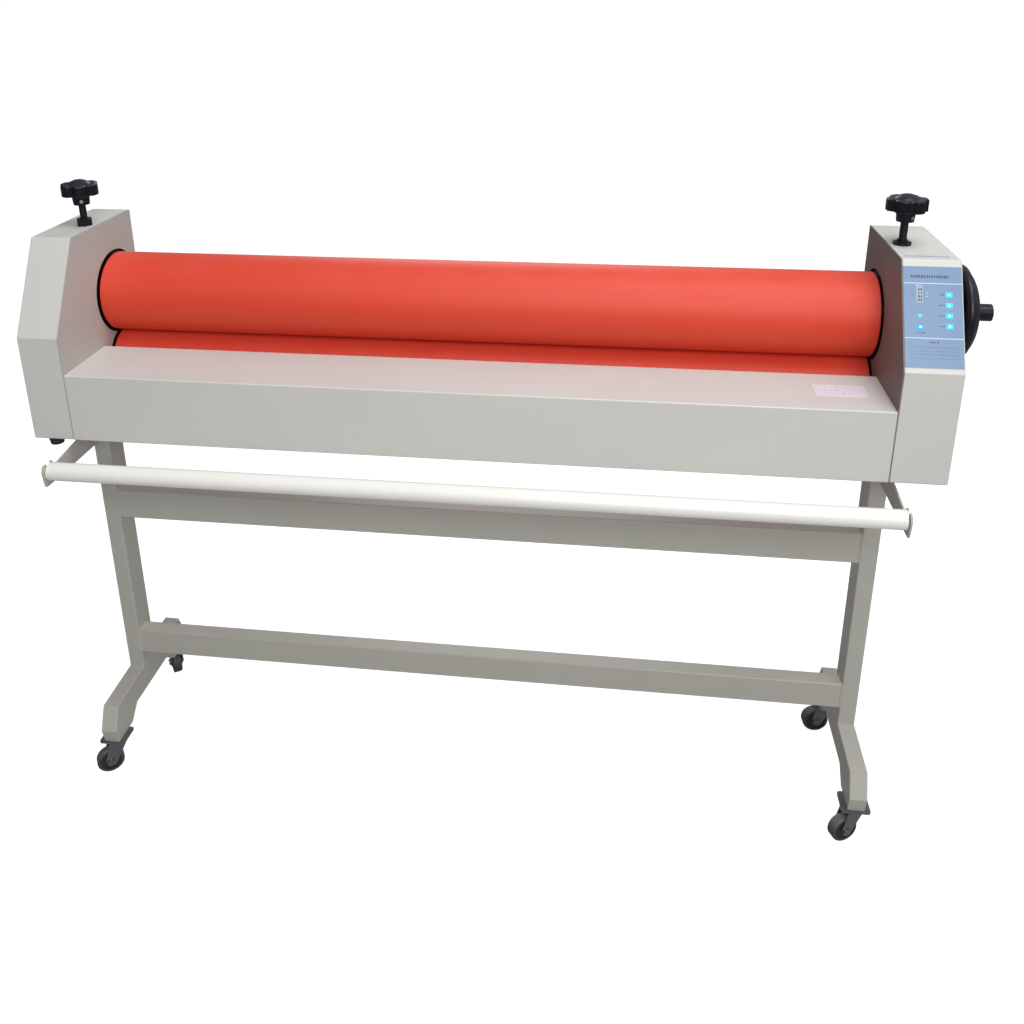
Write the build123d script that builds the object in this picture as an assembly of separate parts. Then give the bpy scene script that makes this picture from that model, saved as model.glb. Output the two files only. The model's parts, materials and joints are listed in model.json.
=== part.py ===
from build123d import *
from math import acos, asin, atan2, cos, degrees, pi, radians, sin, sqrt, tan
import os

# Cold roll laminator on a wheeled stand.
# The working frame while building: X runs along the rollers with 0 at mid-length, Y runs from the feed
# side (negative) to the exit side, with 0 at the top roller's axis, and Z is up from the floor.
# At the end every piece is shifted so that the origin is the middle of the footprint on the floor.

# ---------------------------------------------------------------- driving sizes, millimetres
# rollers
CASING_GAP = 1340.0          # clear width between the two casings
ROLLER_END_GAP = 2.0         # rubber to the casing at each end
ROLLER_DIA = 143.0           # top roller, outside the rubber
LOWER_ROLLER_DIA = 120.0     # drive roller, outside the rubber
RUBBER_WALL = 12.0
CORE_WALL = 6.0
ROLLER_PLUG = 20.0           # solid end of the core tube
JOURNAL_DIA = 30.0
RUBBER_CHAMFER = 2.0
NIP_Z = 841.0                # height of the nip above the floor
NIP_GAP = 0.5                # rubber to rubber with the screws home
NIP_OPENING = 15.0           # how far the top roller lifts

# casings
LEFT_CASING_WIDTH = 73.0
RIGHT_CASING_WIDTH = 88.0
CASING_BOTTOM_Z = 711.0
CASING_TOP_Z = 1046.0
CASING_FRONT_Y = -212.0
CASING_REAR_Y = 80.0
SLOPE_BOTTOM_Z = 896.0       # where the sloped upper front starts
SLOPE_TOP_Y = -125.0         # where it meets the top
CASING_SHEET = 1.5
SIDE_SHEET = 2.0
FOLD_RADIUS = 3.0
CORNER_ROUND = 2.0           # rounding of a casing's outer corners
ROLLER_WINDOW_CLEARANCE = 5.0
LOWER_WINDOW_CLEARANCE = 4.0

# structure inside the casings
FRAME_PLATE = 8.0
FRAME_PLATE_INSET = 5.0      # from the casing's inner face to the frame plate
FRAME_FLANGE = 6.0           # thickness of the foot flange and the screw lug
FRAME_FLANGE_OUT = 43.0
TIE_BAR = 20.0
TIE_BAR_WALL = 2.0
ARM_THICKNESS = 15.0
ARM_GAP = 1.5                # frame plate to pressure arm
ARM_LENGTH = 58.0            # pivot to top roller axis
ARM_PIN_DIA = 16.0
ARM_PIVOT_BOSS = 17.0
ARM_BEARING_BOSS = 36.0
ARM_NOSE_BOSS = 21.0
TOP_BEARING_DIA = 44.0
LOWER_BEARING_DIA = 62.0
LOWER_BEARING_FLANGE_DIA = 84.0
LOWER_BEARING_FLANGE = 8.0
RUNNING_CLEARANCE = 0.05     # radial, of every shaft in its bearing

# pressure screws and star knobs
SCREW_Y = -40.0
SCREW_DIA = 12.0
SCREW_TIP_DIA = 9.0
SCREW_LEAD = 3.0
SCREW_SLOT = 20.0            # open slot in the arm's nose that lets the screw in
TRUNNION_DIA = 26.0
TRUNNION_CLEARANCE = 0.2
NUT_ACROSS_FLATS = 24.0
NUT_HEIGHT = 12.0
NUT_FLANGE_DIA = 28.0
NUT_FLANGE = 4.0
NUT_BARREL_DIA = 17.0
NUT_BARREL = 20.0
KNOB_BOTTOM_Z = 1101.0
KNOB_DIA = 63.0
KNOB_HEIGHT = 20.0
KNOB_LOBES = 6
KNOB_SCALLOP_DIA = 17.0
KNOB_DOME = 7.0
KNOB_HUB_DIA = 27.0
KNOB_HUB = 17.0
KNOB_HOLE_DEPTH = 30.0       # how far the screw stands in the knob
SET_SCREW_DIA = 6.0

# feed table and exit table
TABLE_Z = 831.0
TABLE_REAR_Y = -74.0
EXIT_TABLE_FRONT_Y = 56.0
TABLE_SHEET = 2.0
TABLE_LIP = 20.0             # folded edge under each apron
TABLE_BACK_LIP = 14.0        # folded-down edge next to the rollers
TABLE_END_GAP = 0.3
LABEL_SIZE = (80.0, 44.0, 0.3)
LABEL_CENTRE = (600.0, -140.0)

# drive in the right casing
DRIVE_Y = -97.0
DRIVE_Z = 955.0
DRIVE_SHAFT_DIA = 16.0
CHAIN_PITCH = 9.525
DRIVE_TEETH = 16
ROLLER_TEETH = 24
CHAIN_WIDTH = 7.0
CHAIN_HALF_HEIGHT = 3.2
SPROCKET_CLEARANCE = 0.4
CHAIN_INSET = 32.0           # from the casing's inner face to the chain
GEARBOX_INSET = 43.0
GEARBOX = (38.0, 64.0, 64.0)
GEARBOX_SPACER_DIA = 8.0
MOTOR_DIA = 40.0
MOTOR_LENGTH = 100.0
HANDWHEEL_DIA = 150.0
HANDWHEEL_RIM = 7.0          # half thickness of the rim
HANDWHEEL_GAP = 5.0          # casing to rim
HANDWHEEL_DISH = 27.0        # how far the hub stands out past the rim
HANDWHEEL_WEB = 5.0
HANDWHEEL_HUB_DIA = 44.0
HANDWHEEL_BOSS_DIA = 27.0
HANDWHEEL_BOSS = 24.0

# control panel on the right casing's slope
PANEL_SIZE = (84.0, 154.0)
PANEL_THICKNESS = 0.8
PANEL_INSET = 2.0            # from the casing's inner face
PANEL_UP = 8.5               # from the foot of the slope to the panel
KEY_SIZE = (9.0, 7.0)
KEY_GAP = 0.3
KEY_PROUD = 0.4
KEY_TRAVEL = 0.4
KEY_COLUMN = 67.0            # from the casing's inner face
KEY_ROWS = (71.5, 87.5, 103.5, 119.5)   # up the slope
LIGHT_COLUMN = 25.0
LIGHT_ROW = 87.0
START_KEY_ROW = 70.0         # the key below the light
LIGHT_DIA = 5.0
DISPLAY_SIZE = (9.0, 24.0)
DISPLAY_ROW = 119.0
BOARD_SIZE = (66.0, 112.0, 1.6)
BOARD_DEPTH = 12.0
BOARD_POST_DIA = 5.0
INLET_Z = 760.0
INLET_FLANGE = (50.0, 28.0, 3.0)
INLET_BODY = (28.0, 22.0, 26.0)

# stand
POST_WIDTH = 30.0
POST_DEPTH = 50.0
POST_WALL = 2.0
POST_INSET = 3.0             # post's inner face, outward of the casing's inner face
POST_CENTRE_Y = -81.0
POST_PLATE = 6.0
POST_PLATE_WIDTH = 50.0
POST_PLATE_DEPTH = 90.0
FOOT_BOTTOM_Z = 74.0
FOOT_TOP_Z = 150.0
FOOT_HALF_LENGTH = 154.0
FOOT_NOSE_Z = 103.0          # where the end face turns back under
FOOT_TOE_SET_BACK = 20.0     # top edge of the end face, behind the nose
FOOT_HEEL_SET_BACK = 6.0     # bottom edge of the end face, behind the nose
FOOT_TOP_FALL = 4.0
FOOT_ARCH = 26.0             # how far the middle of the underside stands above the ends
FOOT_PAD = 60.0              # level underside at each end, over the caster
FOOT_WALL = 2.0
CROSSBAR_DEPTH = 30.0
CROSSBAR_WALL = 1.5
CROSSBAR_CENTRE_Y = -89.0
LOWER_BAR = (184.0, 236.0)   # bottom and top height
UPPER_BAR = (493.0, 551.0)
RUBBER_FOOT_DIA = 28.0
RUBBER_FOOT = 16.0

# guide tube in front
TUBE_DIA = 31.0
TUBE_WALL = 2.0
TUBE_Y = -268.0
TUBE_Z = 681.0
TUBE_PIN_DIA = 12.0
TUBE_END_GAP = 1.0
TUBE_CAP = 10.0
CRADLE_INSET = 17.0          # cradle arm's inner face, outward of the casing's inner face
CRADLE_SHEET = 3.0
CRADLE_NOTCH_CLEARANCE = 0.4
CRADLE_LIP = 16.0            # arm in front of the notch's centre, above it and below it
CRADLE_BACK = (657.0, 701.0)  # bottom and top height at the post

# casters
CASTER_WHEEL_DIA = 50.0
CASTER_WHEEL_WIDTH = 18.0
CASTER_TYRE = 6.0
CASTER_PLATE = (50.0, 46.0, 2.5)
CASTER_TRAIL = 18.0
CASTER_FORK_SHEET = 2.0
CASTER_AXLE_DIA = 8.0
CASTER_RACE_DIA = 38.0
CASTER_SIDE_GAP = 1.2
CASTER_SWIVEL_GAP = 0.3
CASTER_OFFSET = 130.0        # caster's swivel axis from the middle of the foot
CASTER_HEADING = {"front_left": 215.0, "front_right": 205.0, "rear_left": 125.0, "rear_right": 185.0}

BOLT_DIA = 8.0
BOLT_HEAD_DIA = 13.0
BOLT_HEAD = 5.5
COVER_SCREW_DIA = 5.0
COVER_SCREW_HEAD_DIA = 9.0
COVER_SCREW_HEAD = 2.6
SPACER_DIA = 10.0
COVER_SCREWS = ((-190.0, 770.0), (62.0, 790.0), (62.0, 1020.0), (-100.0, 1022.0))

# ---------------------------------------------------------------- sizes that follow
HALF_GAP = CASING_GAP / 2
ROLLER_FACE = CASING_GAP - 2 * ROLLER_END_GAP
ROLLER_R = ROLLER_DIA / 2
LOWER_ROLLER_R = LOWER_ROLLER_DIA / 2
LOWER_Z = NIP_Z - NIP_GAP / 2 - LOWER_ROLLER_R
UPPER_Z = NIP_Z + NIP_GAP / 2 + ROLLER_R
CASING_WIDTH = {-1: LEFT_CASING_WIDTH, 1: RIGHT_CASING_WIDTH}
FRAME_IN = HALF_GAP + FRAME_PLATE_INSET
FRAME_OUT = FRAME_IN + FRAME_PLATE
ARM_IN = FRAME_OUT + ARM_GAP
ARM_OUT = ARM_IN + ARM_THICKNESS
SCREW_X = (ARM_IN + ARM_OUT) / 2
POST_IN = HALF_GAP + POST_INSET
POST_OUT = POST_IN + POST_WIDTH
POST_X = (POST_IN + POST_OUT) / 2
POST_FRONT_Y = POST_CENTRE_Y - POST_DEPTH / 2
CRADLE_IN = HALF_GAP + CRADLE_INSET
CHAIN_IN = HALF_GAP + CHAIN_INSET
GEARBOX_IN = HALF_GAP + GEARBOX_INSET
RIGHT_OUT = HALF_GAP + RIGHT_CASING_WIDTH
ARM_TILT = degrees(asin(NIP_OPENING / 2 / ARM_LENGTH))      # the arm's tilt with the screws home
PIVOT_Z = UPPER_Z + NIP_OPENING / 2
PIVOT_Y = ARM_LENGTH * cos(radians(ARM_TILT))
NOSE_LENGTH = (PIVOT_Y - SCREW_Y) / cos(radians(ARM_TILT))  # pivot to trunnion with the screws home
TRUNNION_Z = PIVOT_Z - (PIVOT_Y - SCREW_Y) * tan(radians(ARM_TILT))
SCREW_TRAVEL = 2 * (PIVOT_Z - TRUNNION_Z)
SLOPE_ANGLE = degrees(atan2(CASING_TOP_Z - SLOPE_BOTTOM_Z, SLOPE_TOP_Y - CASING_FRONT_Y))
DRIVE_PITCH_R = CHAIN_PITCH / sin(pi / DRIVE_TEETH) / 2
ROLLER_PITCH_R = CHAIN_PITCH / sin(pi / ROLLER_TEETH) / 2

parts = {}


# ---------------------------------------------------------------- helpers
def block(x0, x1, y0, y1, z0, z1):
    """A box between two corners, given in any order."""
    size = (abs(x1 - x0), abs(y1 - y0), abs(z1 - z0))
    return Pos((x0 + x1) / 2, (y0 + y1) / 2, (z0 + z1) / 2) * Box(*size)


def rod_x(diameter, x0, x1, y, z):
    """A round bar along X."""
    return Pos((x0 + x1) / 2, y, z) * Rot(0, 90, 0) * Cylinder(diameter / 2, abs(x1 - x0))


def rod_y(diameter, x, y0, y1, z):
    """A round bar along Y."""
    return Pos(x, (y0 + y1) / 2, z) * Rot(90, 0, 0) * Cylinder(diameter / 2, abs(y1 - y0))


def rod_z(diameter, x, y, z0, z1):
    """A round bar along Z."""
    return Pos(x, y, (z0 + z1) / 2) * Cylinder(diameter / 2, abs(z1 - z0))


def outline(points):
    """A flat face from its corners; in a slab, the first number is Y and the second is Z."""
    return make_face(Polyline(*points, close=True))


def slab(face, x0, x1):
    """A side view, drawn as (Y, Z), given a thickness from x0 to x1."""
    low = min(x0, x1)
    return extrude(Plane.YZ.offset(low) * face, abs(x1 - x0))


def band(a, radius_a, b, radius_b):
    """The face inside a belt that runs round two circles."""
    length = sqrt((b[0] - a[0]) ** 2 + (b[1] - a[1]) ** 2)
    heading = atan2(b[1] - a[1], b[0] - a[0])
    lean = acos((radius_a - radius_b) / length)
    corners = []
    for centre, radius, sign in ((a, radius_a, 1), (b, radius_b, 1), (b, radius_b, -1), (a, radius_a, -1)):
        angle = heading + sign * lean
        corners.append((centre[0] + radius * cos(angle), centre[1] + radius * sin(angle)))
    return outline(corners) + Pos(*a) * Circle(radius_a) + Pos(*b) * Circle(radius_b)


def group(pieces):
    """Separate solids that share one node."""
    return Compound(children=[solid for piece in pieces for solid in piece.solids()])


def on_slope(across, up, depth=0.0):
    """A place on the right casing's slope: across from its inner face, up the slope, depth inwards.
    Its X runs along the machine, its Y up the slope and its Z straight out of the panel."""
    foot = Pos(HALF_GAP, CASING_FRONT_Y, SLOPE_BOTTOM_Z)
    return foot * Rot(SLOPE_ANGLE, 0, 0) * Pos(across, up, -depth)


def key_places():
    """Each key's place on the slope, as (across, up): a column of four, then the start key."""
    return [(KEY_COLUMN, up) for up in KEY_ROWS] + [(LIGHT_COLUMN, START_KEY_ROW)]


# ---------------------------------------------------------------- casings and frames
def casing_outline():
    corners = [(CASING_FRONT_Y, CASING_BOTTOM_Z), (CASING_FRONT_Y, SLOPE_BOTTOM_Z),
               (SLOPE_TOP_Y, CASING_TOP_Z), (CASING_REAR_Y, CASING_TOP_Z), (CASING_REAR_Y, CASING_BOTTOM_Z)]
    face = outline(corners)
    return fillet(face.vertices(), FOLD_RADIUS)


CASING_FACE = casing_outline()
INSIDE_FACE = offset(CASING_FACE, -CASING_SHEET)


def tie_bar_rows():
    """The lower front corner of each tie bar, as (Y, Z)."""
    low = CASING_BOTTOM_Z + TABLE_SHEET
    return ((CASING_FRONT_Y + TABLE_SHEET, low), (CASING_REAR_Y - TABLE_SHEET - TIE_BAR, low))


def roller_window():
    """The opening in a side plate for both rollers' journals. The rubber ends short of it, so it can lift."""
    lower = Pos(0, LOWER_Z) * Circle(LOWER_ROLLER_R + LOWER_WINDOW_CLEARANCE)
    return lower + Pos(0, UPPER_Z) * Circle(ROLLER_R + ROLLER_WINDOW_CLEARANCE)


def make_side_plate(side):
    plate = slab(CASING_FACE, side * HALF_GAP, side * (HALF_GAP + SIDE_SHEET))
    plate -= slab(roller_window(), side * HALF_GAP, side * (HALF_GAP + SIDE_SHEET))
    gap = 0.5
    for y, z in tie_bar_rows():
        plate -= block(side * (HALF_GAP - 1), side * (HALF_GAP + SIDE_SHEET + 1),
                       y - gap, y + TIE_BAR + gap, z - gap, z + TIE_BAR + gap)
    return plate


def make_casing(side):
    inner = HALF_GAP + SIDE_SHEET
    outer = HALF_GAP + CASING_WIDTH[side]
    shell = slab(CASING_FACE, side * inner, side * outer)
    rim = shell.edges().filter_by_position(Axis.X, side * outer - 0.01, side * outer + 0.01)
    shell = fillet(rim, CORNER_ROUND)
    shell -= slab(INSIDE_FACE, side * inner, side * (outer - CASING_SHEET))
    shell -= rod_z(NUT_BARREL_DIA, side * SCREW_X, SCREW_Y, CASING_TOP_Z - 5, CASING_TOP_Z + 5)
    for x in leg_bolt_xs(side):
        for y in leg_bolt_ys():
            shell -= rod_z(BOLT_DIA, x, y, CASING_BOTTOM_Z - 5, CASING_BOTTOM_Z + 5)
    for y, z in COVER_SCREWS:
        shell -= rod_x(COVER_SCREW_DIA, side * (outer - 5), side * (outer + 5), y, z)
    if side > 0:
        shell -= rod_x(DRIVE_SHAFT_DIA + 6, outer - 5, outer + 5, DRIVE_Y, DRIVE_Z)
        deep = 6.0
        for across, up in key_places():
            window = Box(KEY_SIZE[0] + 2 * KEY_GAP, KEY_SIZE[1] + 2 * KEY_GAP, deep)
            shell -= on_slope(across, up) * window
        shell -= on_slope(LIGHT_COLUMN, LIGHT_ROW) * Cylinder(LIGHT_DIA / 2, deep)
        shell -= on_slope(LIGHT_COLUMN, DISPLAY_ROW) * Box(*DISPLAY_SIZE, deep)
        shell -= block(INLET_X - INLET_BODY[0] / 2, INLET_X + INLET_BODY[0] / 2, CASING_REAR_Y - 5,
                       CASING_REAR_Y + 5, INLET_Z - INLET_BODY[1] / 2, INLET_Z + INLET_BODY[1] / 2)
    return shell


def leg_bolt_xs(side):
    return (side * (POST_OUT + 10.0),)


def leg_bolt_ys():
    reach = POST_PLATE_DEPTH / 2 - 14.0
    return (POST_CENTRE_Y - reach, POST_CENTRE_Y + reach)


def make_frame_plate(side):
    """The steel plate that carries the rollers, with a foot flange and a lug for the screw's nut."""
    plate = slab(INSIDE_FACE, side * FRAME_IN, side * FRAME_OUT)
    inner_z = CASING_BOTTOM_Z + CASING_SHEET
    reach = POST_PLATE_DEPTH / 2 + 15.0
    plate += block(side * FRAME_OUT, side * (FRAME_OUT + FRAME_FLANGE_OUT), POST_CENTRE_Y - reach,
                   POST_CENTRE_Y + reach, inner_z, inner_z + FRAME_FLANGE)
    lug_top = CASING_TOP_Z - CASING_SHEET - 8.0
    half = NUT_BARREL_DIA / 2 + 5.0
    plate += block(side * FRAME_OUT, side * (SCREW_X + half), SCREW_Y - half, SCREW_Y + half,
                   lug_top - 10.0, lug_top)
    plate -= rod_z(NUT_BARREL_DIA, side * SCREW_X, SCREW_Y, lug_top - 11.0, lug_top + 1.0)
    plate -= rod_x(LOWER_BEARING_DIA, side * (FRAME_IN - 1), side * (FRAME_OUT + 1), 0, LOWER_Z)
    slot_r = JOURNAL_DIA / 2 + 3.0
    slot = Pos(0, UPPER_Z) * Circle(slot_r) + Pos(0, UPPER_Z + NIP_OPENING) * Circle(slot_r)
    slot += Pos(0, UPPER_Z + NIP_OPENING / 2) * Rectangle(2 * slot_r, NIP_OPENING)
    plate -= slab(slot, side * FRAME_IN, side * FRAME_OUT)
    plate -= rod_x(ARM_PIN_DIA, side * (FRAME_IN - 1), side * (FRAME_OUT + 1), PIVOT_Y, PIVOT_Z)
    for x in leg_bolt_xs(side):
        for y in leg_bolt_ys():
            plate -= rod_z(BOLT_DIA, x, y, inner_z - 1, inner_z + FRAME_FLANGE + 1)
    if side > 0:
        bore = DRIVE_SHAFT_DIA + 2 * RUNNING_CLEARANCE
        plate -= rod_x(bore, FRAME_IN - 1, FRAME_OUT + 1, DRIVE_Y, DRIVE_Z)
    return plate


def make_tie_bars():
    bars = []
    for y, z in tie_bar_rows():
        bar = block(-FRAME_IN, FRAME_IN, y, y + TIE_BAR, z, z + TIE_BAR)
        wall = TIE_BAR_WALL
        bar -= block(-FRAME_IN - 1, FRAME_IN + 1, y + wall, y + TIE_BAR - wall,
                     z + wall, z + TIE_BAR - wall)
        bars.append(bar)
    return group(bars)


def folded_table(inner_y, outer_y):
    """A table with an apron: a folded sheet whose edge by the rollers turns down."""
    toward = 1 if inner_y > outer_y else -1
    sheet = TABLE_SHEET
    half = HALF_GAP - TABLE_END_GAP
    skin = [(inner_y, TABLE_Z - TABLE_BACK_LIP), (inner_y, TABLE_Z), (outer_y, TABLE_Z),
            (outer_y, CASING_BOTTOM_Z), (outer_y + toward * TABLE_LIP, CASING_BOTTOM_Z),
            (outer_y + toward * TABLE_LIP, CASING_BOTTOM_Z + sheet),
            (outer_y + toward * sheet, CASING_BOTTOM_Z + sheet),
            (outer_y + toward * sheet, TABLE_Z - sheet), (inner_y - toward * sheet, TABLE_Z - sheet),
            (inner_y - toward * sheet, TABLE_Z - TABLE_BACK_LIP)]
    face = outline(skin)
    folds = [v for v in face.vertices() if (abs(v.Y - TABLE_Z) < 0.01)
             or (abs(v.X - outer_y) < 0.01 and abs(v.Y - CASING_BOTTOM_Z) < 0.01)]
    return slab(fillet(folds, sheet * 0.95), -half, half)


for side, hand in ((-1, "left"), (1, "right")):
    INLET_X = (FRAME_OUT + FRAME_FLANGE_OUT / 2 + RIGHT_OUT - CASING_SHEET) / 2
    parts[hand + "_side_plate"] = make_side_plate(side)
    parts[hand + "_casing"] = make_casing(side)
    parts[hand + "_frame_plate"] = make_frame_plate(side)
parts["tie_bars"] = make_tie_bars()
parts["feed_table"] = folded_table(TABLE_REAR_Y, CASING_FRONT_Y)
parts["exit_table"] = folded_table(EXIT_TABLE_FRONT_Y, CASING_REAR_Y)


def make_cover_screws():
    """Each casing is held by four screws into spacers that stand on the frame plate."""
    pieces = []
    for side in (-1, 1):
        outer = HALF_GAP + CASING_WIDTH[side]
        for y, z in COVER_SCREWS:
            inner = outer - CASING_SHEET
            spacer = rod_x(SPACER_DIA, side * FRAME_OUT, side * inner, y, z)
            spacer -= rod_x(COVER_SCREW_DIA, side * (inner - 12), side * (inner + 1), y, z)
            screw = rod_x(COVER_SCREW_DIA, side * (inner - 10), side * outer, y, z)
            screw += rod_x(COVER_SCREW_HEAD_DIA, side * outer, side * (outer + COVER_SCREW_HEAD), y, z)
            pieces += [spacer, screw]
    return group(pieces)


parts["casing_screws"] = make_cover_screws()

label_x, label_y = LABEL_CENTRE
parts["table_label"] = Pos(label_x, label_y, TABLE_Z + LABEL_SIZE[2] / 2) * Box(*LABEL_SIZE)


# ---------------------------------------------------------------- rollers, bearings and pressure arms
def make_core(diameter, z, left_end, right_end):
    """Steel core tube with solid ends and journals that reach left_end and right_end."""
    half = ROLLER_FACE / 2
    core_dia = diameter - 2 * RUBBER_WALL
    core = rod_x(core_dia, -half, half, 0, z)
    core -= rod_x(core_dia - 2 * CORE_WALL, -half + ROLLER_PLUG, half - ROLLER_PLUG, 0, z)
    core += rod_x(JOURNAL_DIA, -left_end, -half, 0, z) + rod_x(JOURNAL_DIA, half, right_end, 0, z)
    return core


def make_sleeve(diameter, z):
    half = ROLLER_FACE / 2
    sleeve = rod_x(diameter, -half, half, 0, z)
    sleeve = chamfer(sleeve.edges().filter_by(GeomType.CIRCLE), RUBBER_CHAMFER)
    return sleeve - rod_x(diameter - 2 * RUBBER_WALL, -half - 1, half + 1, 0, z)


CHAIN_OUT = CHAIN_IN + CHAIN_WIDTH
LOWER_BEARING_OUT = FRAME_OUT + LOWER_BEARING_FLANGE
parts["lower_roller_core"] = make_core(LOWER_ROLLER_DIA, LOWER_Z, LOWER_BEARING_OUT + 3.0, CHAIN_OUT + 2.0)
parts["lower_roller_rubber"] = make_sleeve(LOWER_ROLLER_DIA, LOWER_Z)
parts["top_roller_core"] = make_core(ROLLER_DIA, UPPER_Z, ARM_OUT - 0.5, ARM_OUT - 0.5)
parts["top_roller_rubber"] = make_sleeve(ROLLER_DIA, UPPER_Z)


def make_lower_bearings():
    rings = []
    for side in (-1, 1):
        ring = rod_x(LOWER_BEARING_DIA, side * FRAME_IN, side * FRAME_OUT, 0, LOWER_Z)
        ring += rod_x(LOWER_BEARING_FLANGE_DIA, side * FRAME_OUT, side * LOWER_BEARING_OUT, 0, LOWER_Z)
        bore = JOURNAL_DIA + 2 * RUNNING_CLEARANCE
        rings.append(ring - rod_x(bore, side * (FRAME_IN - 1), side * (LOWER_BEARING_OUT + 1), 0, LOWER_Z))
    return group(rings)


def make_top_bearings():
    rings = []
    for side in (-1, 1):
        ring = rod_x(TOP_BEARING_DIA, side * ARM_IN, side * ARM_OUT, 0, UPPER_Z)
        bore = JOURNAL_DIA + 2 * RUNNING_CLEARANCE
        rings.append(ring - rod_x(bore, side * (ARM_IN - 1), side * (ARM_OUT + 1), 0, UPPER_Z))
    return group(rings)


def make_pressure_arm(side):
    """Pivots at the rear, carries the top roller, and is held at its nose by the screw's trunnion."""
    arm = band((0, 0), ARM_PIVOT_BOSS, (-ARM_LENGTH, 0), ARM_BEARING_BOSS)
    arm += band((-ARM_LENGTH, 0), ARM_BEARING_BOSS, (-NOSE_LENGTH, 0), ARM_NOSE_BOSS)
    arm -= Circle(ARM_PIN_DIA / 2 + RUNNING_CLEARANCE)
    arm -= Pos(-ARM_LENGTH, 0) * Circle(TOP_BEARING_DIA / 2)
    near = NOSE_LENGTH * cos(radians(ARM_TILT))
    hole = TRUNNION_DIA + 2 * TRUNNION_CLEARANCE
    arm -= Pos(-(near + NOSE_LENGTH) / 2, 0) * SlotCenterToCenter(NOSE_LENGTH - near, hole)
    arm -= Pos(-NOSE_LENGTH, ARM_NOSE_BOSS) * Rectangle(SCREW_SLOT, 2 * ARM_NOSE_BOSS)
    tilted = Pos(PIVOT_Y, PIVOT_Z) * Rot(0, 0, ARM_TILT) * arm
    return slab(tilted, side * ARM_IN, side * ARM_OUT)


def make_arm_pins():
    pins = []
    for side in (-1, 1):
        pin = rod_x(ARM_PIN_DIA, side * FRAME_IN, side * (ARM_OUT + 1), PIVOT_Y, PIVOT_Z)
        pins.append(pin + rod_x(ARM_PIN_DIA + 8, side * (ARM_OUT + 0.4), side * (ARM_OUT + 3), PIVOT_Y, PIVOT_Z))
    return group(pins)


parts["lower_bearings"] = make_lower_bearings()
parts["top_bearings"] = make_top_bearings()
parts["left_pressure_arm"] = make_pressure_arm(-1)
parts["right_pressure_arm"] = make_pressure_arm(1)
parts["arm_pivot_pins"] = make_arm_pins()


# ---------------------------------------------------------------- pressure screws and knobs
def make_screw_nuts():
    """The bushes that each screw turns in, held in the frame's lug: hexagon on the left, round on the right."""
    nuts = []
    for side in (-1, 1):
        x = side * SCREW_X
        head = RegularPolygon(NUT_ACROSS_FLATS / 2, 6, major_radius=False)
        nut = Pos(x, SCREW_Y, CASING_TOP_Z) * extrude(head, NUT_HEIGHT)
        if side > 0:
            nut = rod_z(NUT_FLANGE_DIA, x, SCREW_Y, CASING_TOP_Z, CASING_TOP_Z + NUT_FLANGE)
            nut += rod_z(NUT_BARREL_DIA, x, SCREW_Y, CASING_TOP_Z, CASING_TOP_Z + NUT_HEIGHT - 4.0)
        nut += rod_z(NUT_BARREL_DIA, x, SCREW_Y, CASING_TOP_Z - NUT_BARREL, CASING_TOP_Z)
        bore = SCREW_DIA + 2 * RUNNING_CLEARANCE
        nuts.append(nut - rod_z(bore, x, SCREW_Y, CASING_TOP_Z - NUT_BARREL - 1, CASING_TOP_Z + NUT_HEIGHT + 1))
    return group(nuts)


def make_trunnion(side):
    """The round block in the arm's nose that the screw's tip turns in."""
    x = side * SCREW_X
    trunnion = rod_x(TRUNNION_DIA, side * ARM_IN, side * ARM_OUT, SCREW_Y, TRUNNION_Z)
    bore = SCREW_TIP_DIA + 2 * RUNNING_CLEARANCE
    flat_z = TRUNNION_Z + TRUNNION_DIA / 2 - 2.0
    trunnion -= block(side * (ARM_IN - 1), side * (ARM_OUT + 1), SCREW_Y - TRUNNION_DIA,
                      SCREW_Y + TRUNNION_DIA, flat_z, flat_z + TRUNNION_DIA)
    return trunnion - rod_z(bore, x, SCREW_Y, TRUNNION_Z - 6.0, flat_z + 1.0)


def make_screw(side):
    """The screw's shank and tip, and the set screw that pins the knob to it."""
    x = side * SCREW_X
    shoulder_z = TRUNNION_Z + TRUNNION_DIA / 2 - 2.0 + CASTER_SWIVEL_GAP
    screw = rod_z(SCREW_DIA, x, SCREW_Y, shoulder_z, KNOB_BOTTOM_Z - KNOB_HUB + KNOB_HOLE_DEPTH)
    screw += rod_z(SCREW_TIP_DIA, x, SCREW_Y, TRUNNION_Z - 5.5, shoulder_z)
    pin_z = KNOB_BOTTOM_Z - KNOB_HUB + 7.0
    pin = rod_x(SET_SCREW_DIA, x + SCREW_DIA / 2, x + KNOB_HUB_DIA / 2 + 1.5, SCREW_Y, pin_z)
    pin = pin.rotate(Axis((x, SCREW_Y, 0), (0, 0, 1)), -60)
    return group([screw, pin])


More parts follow.
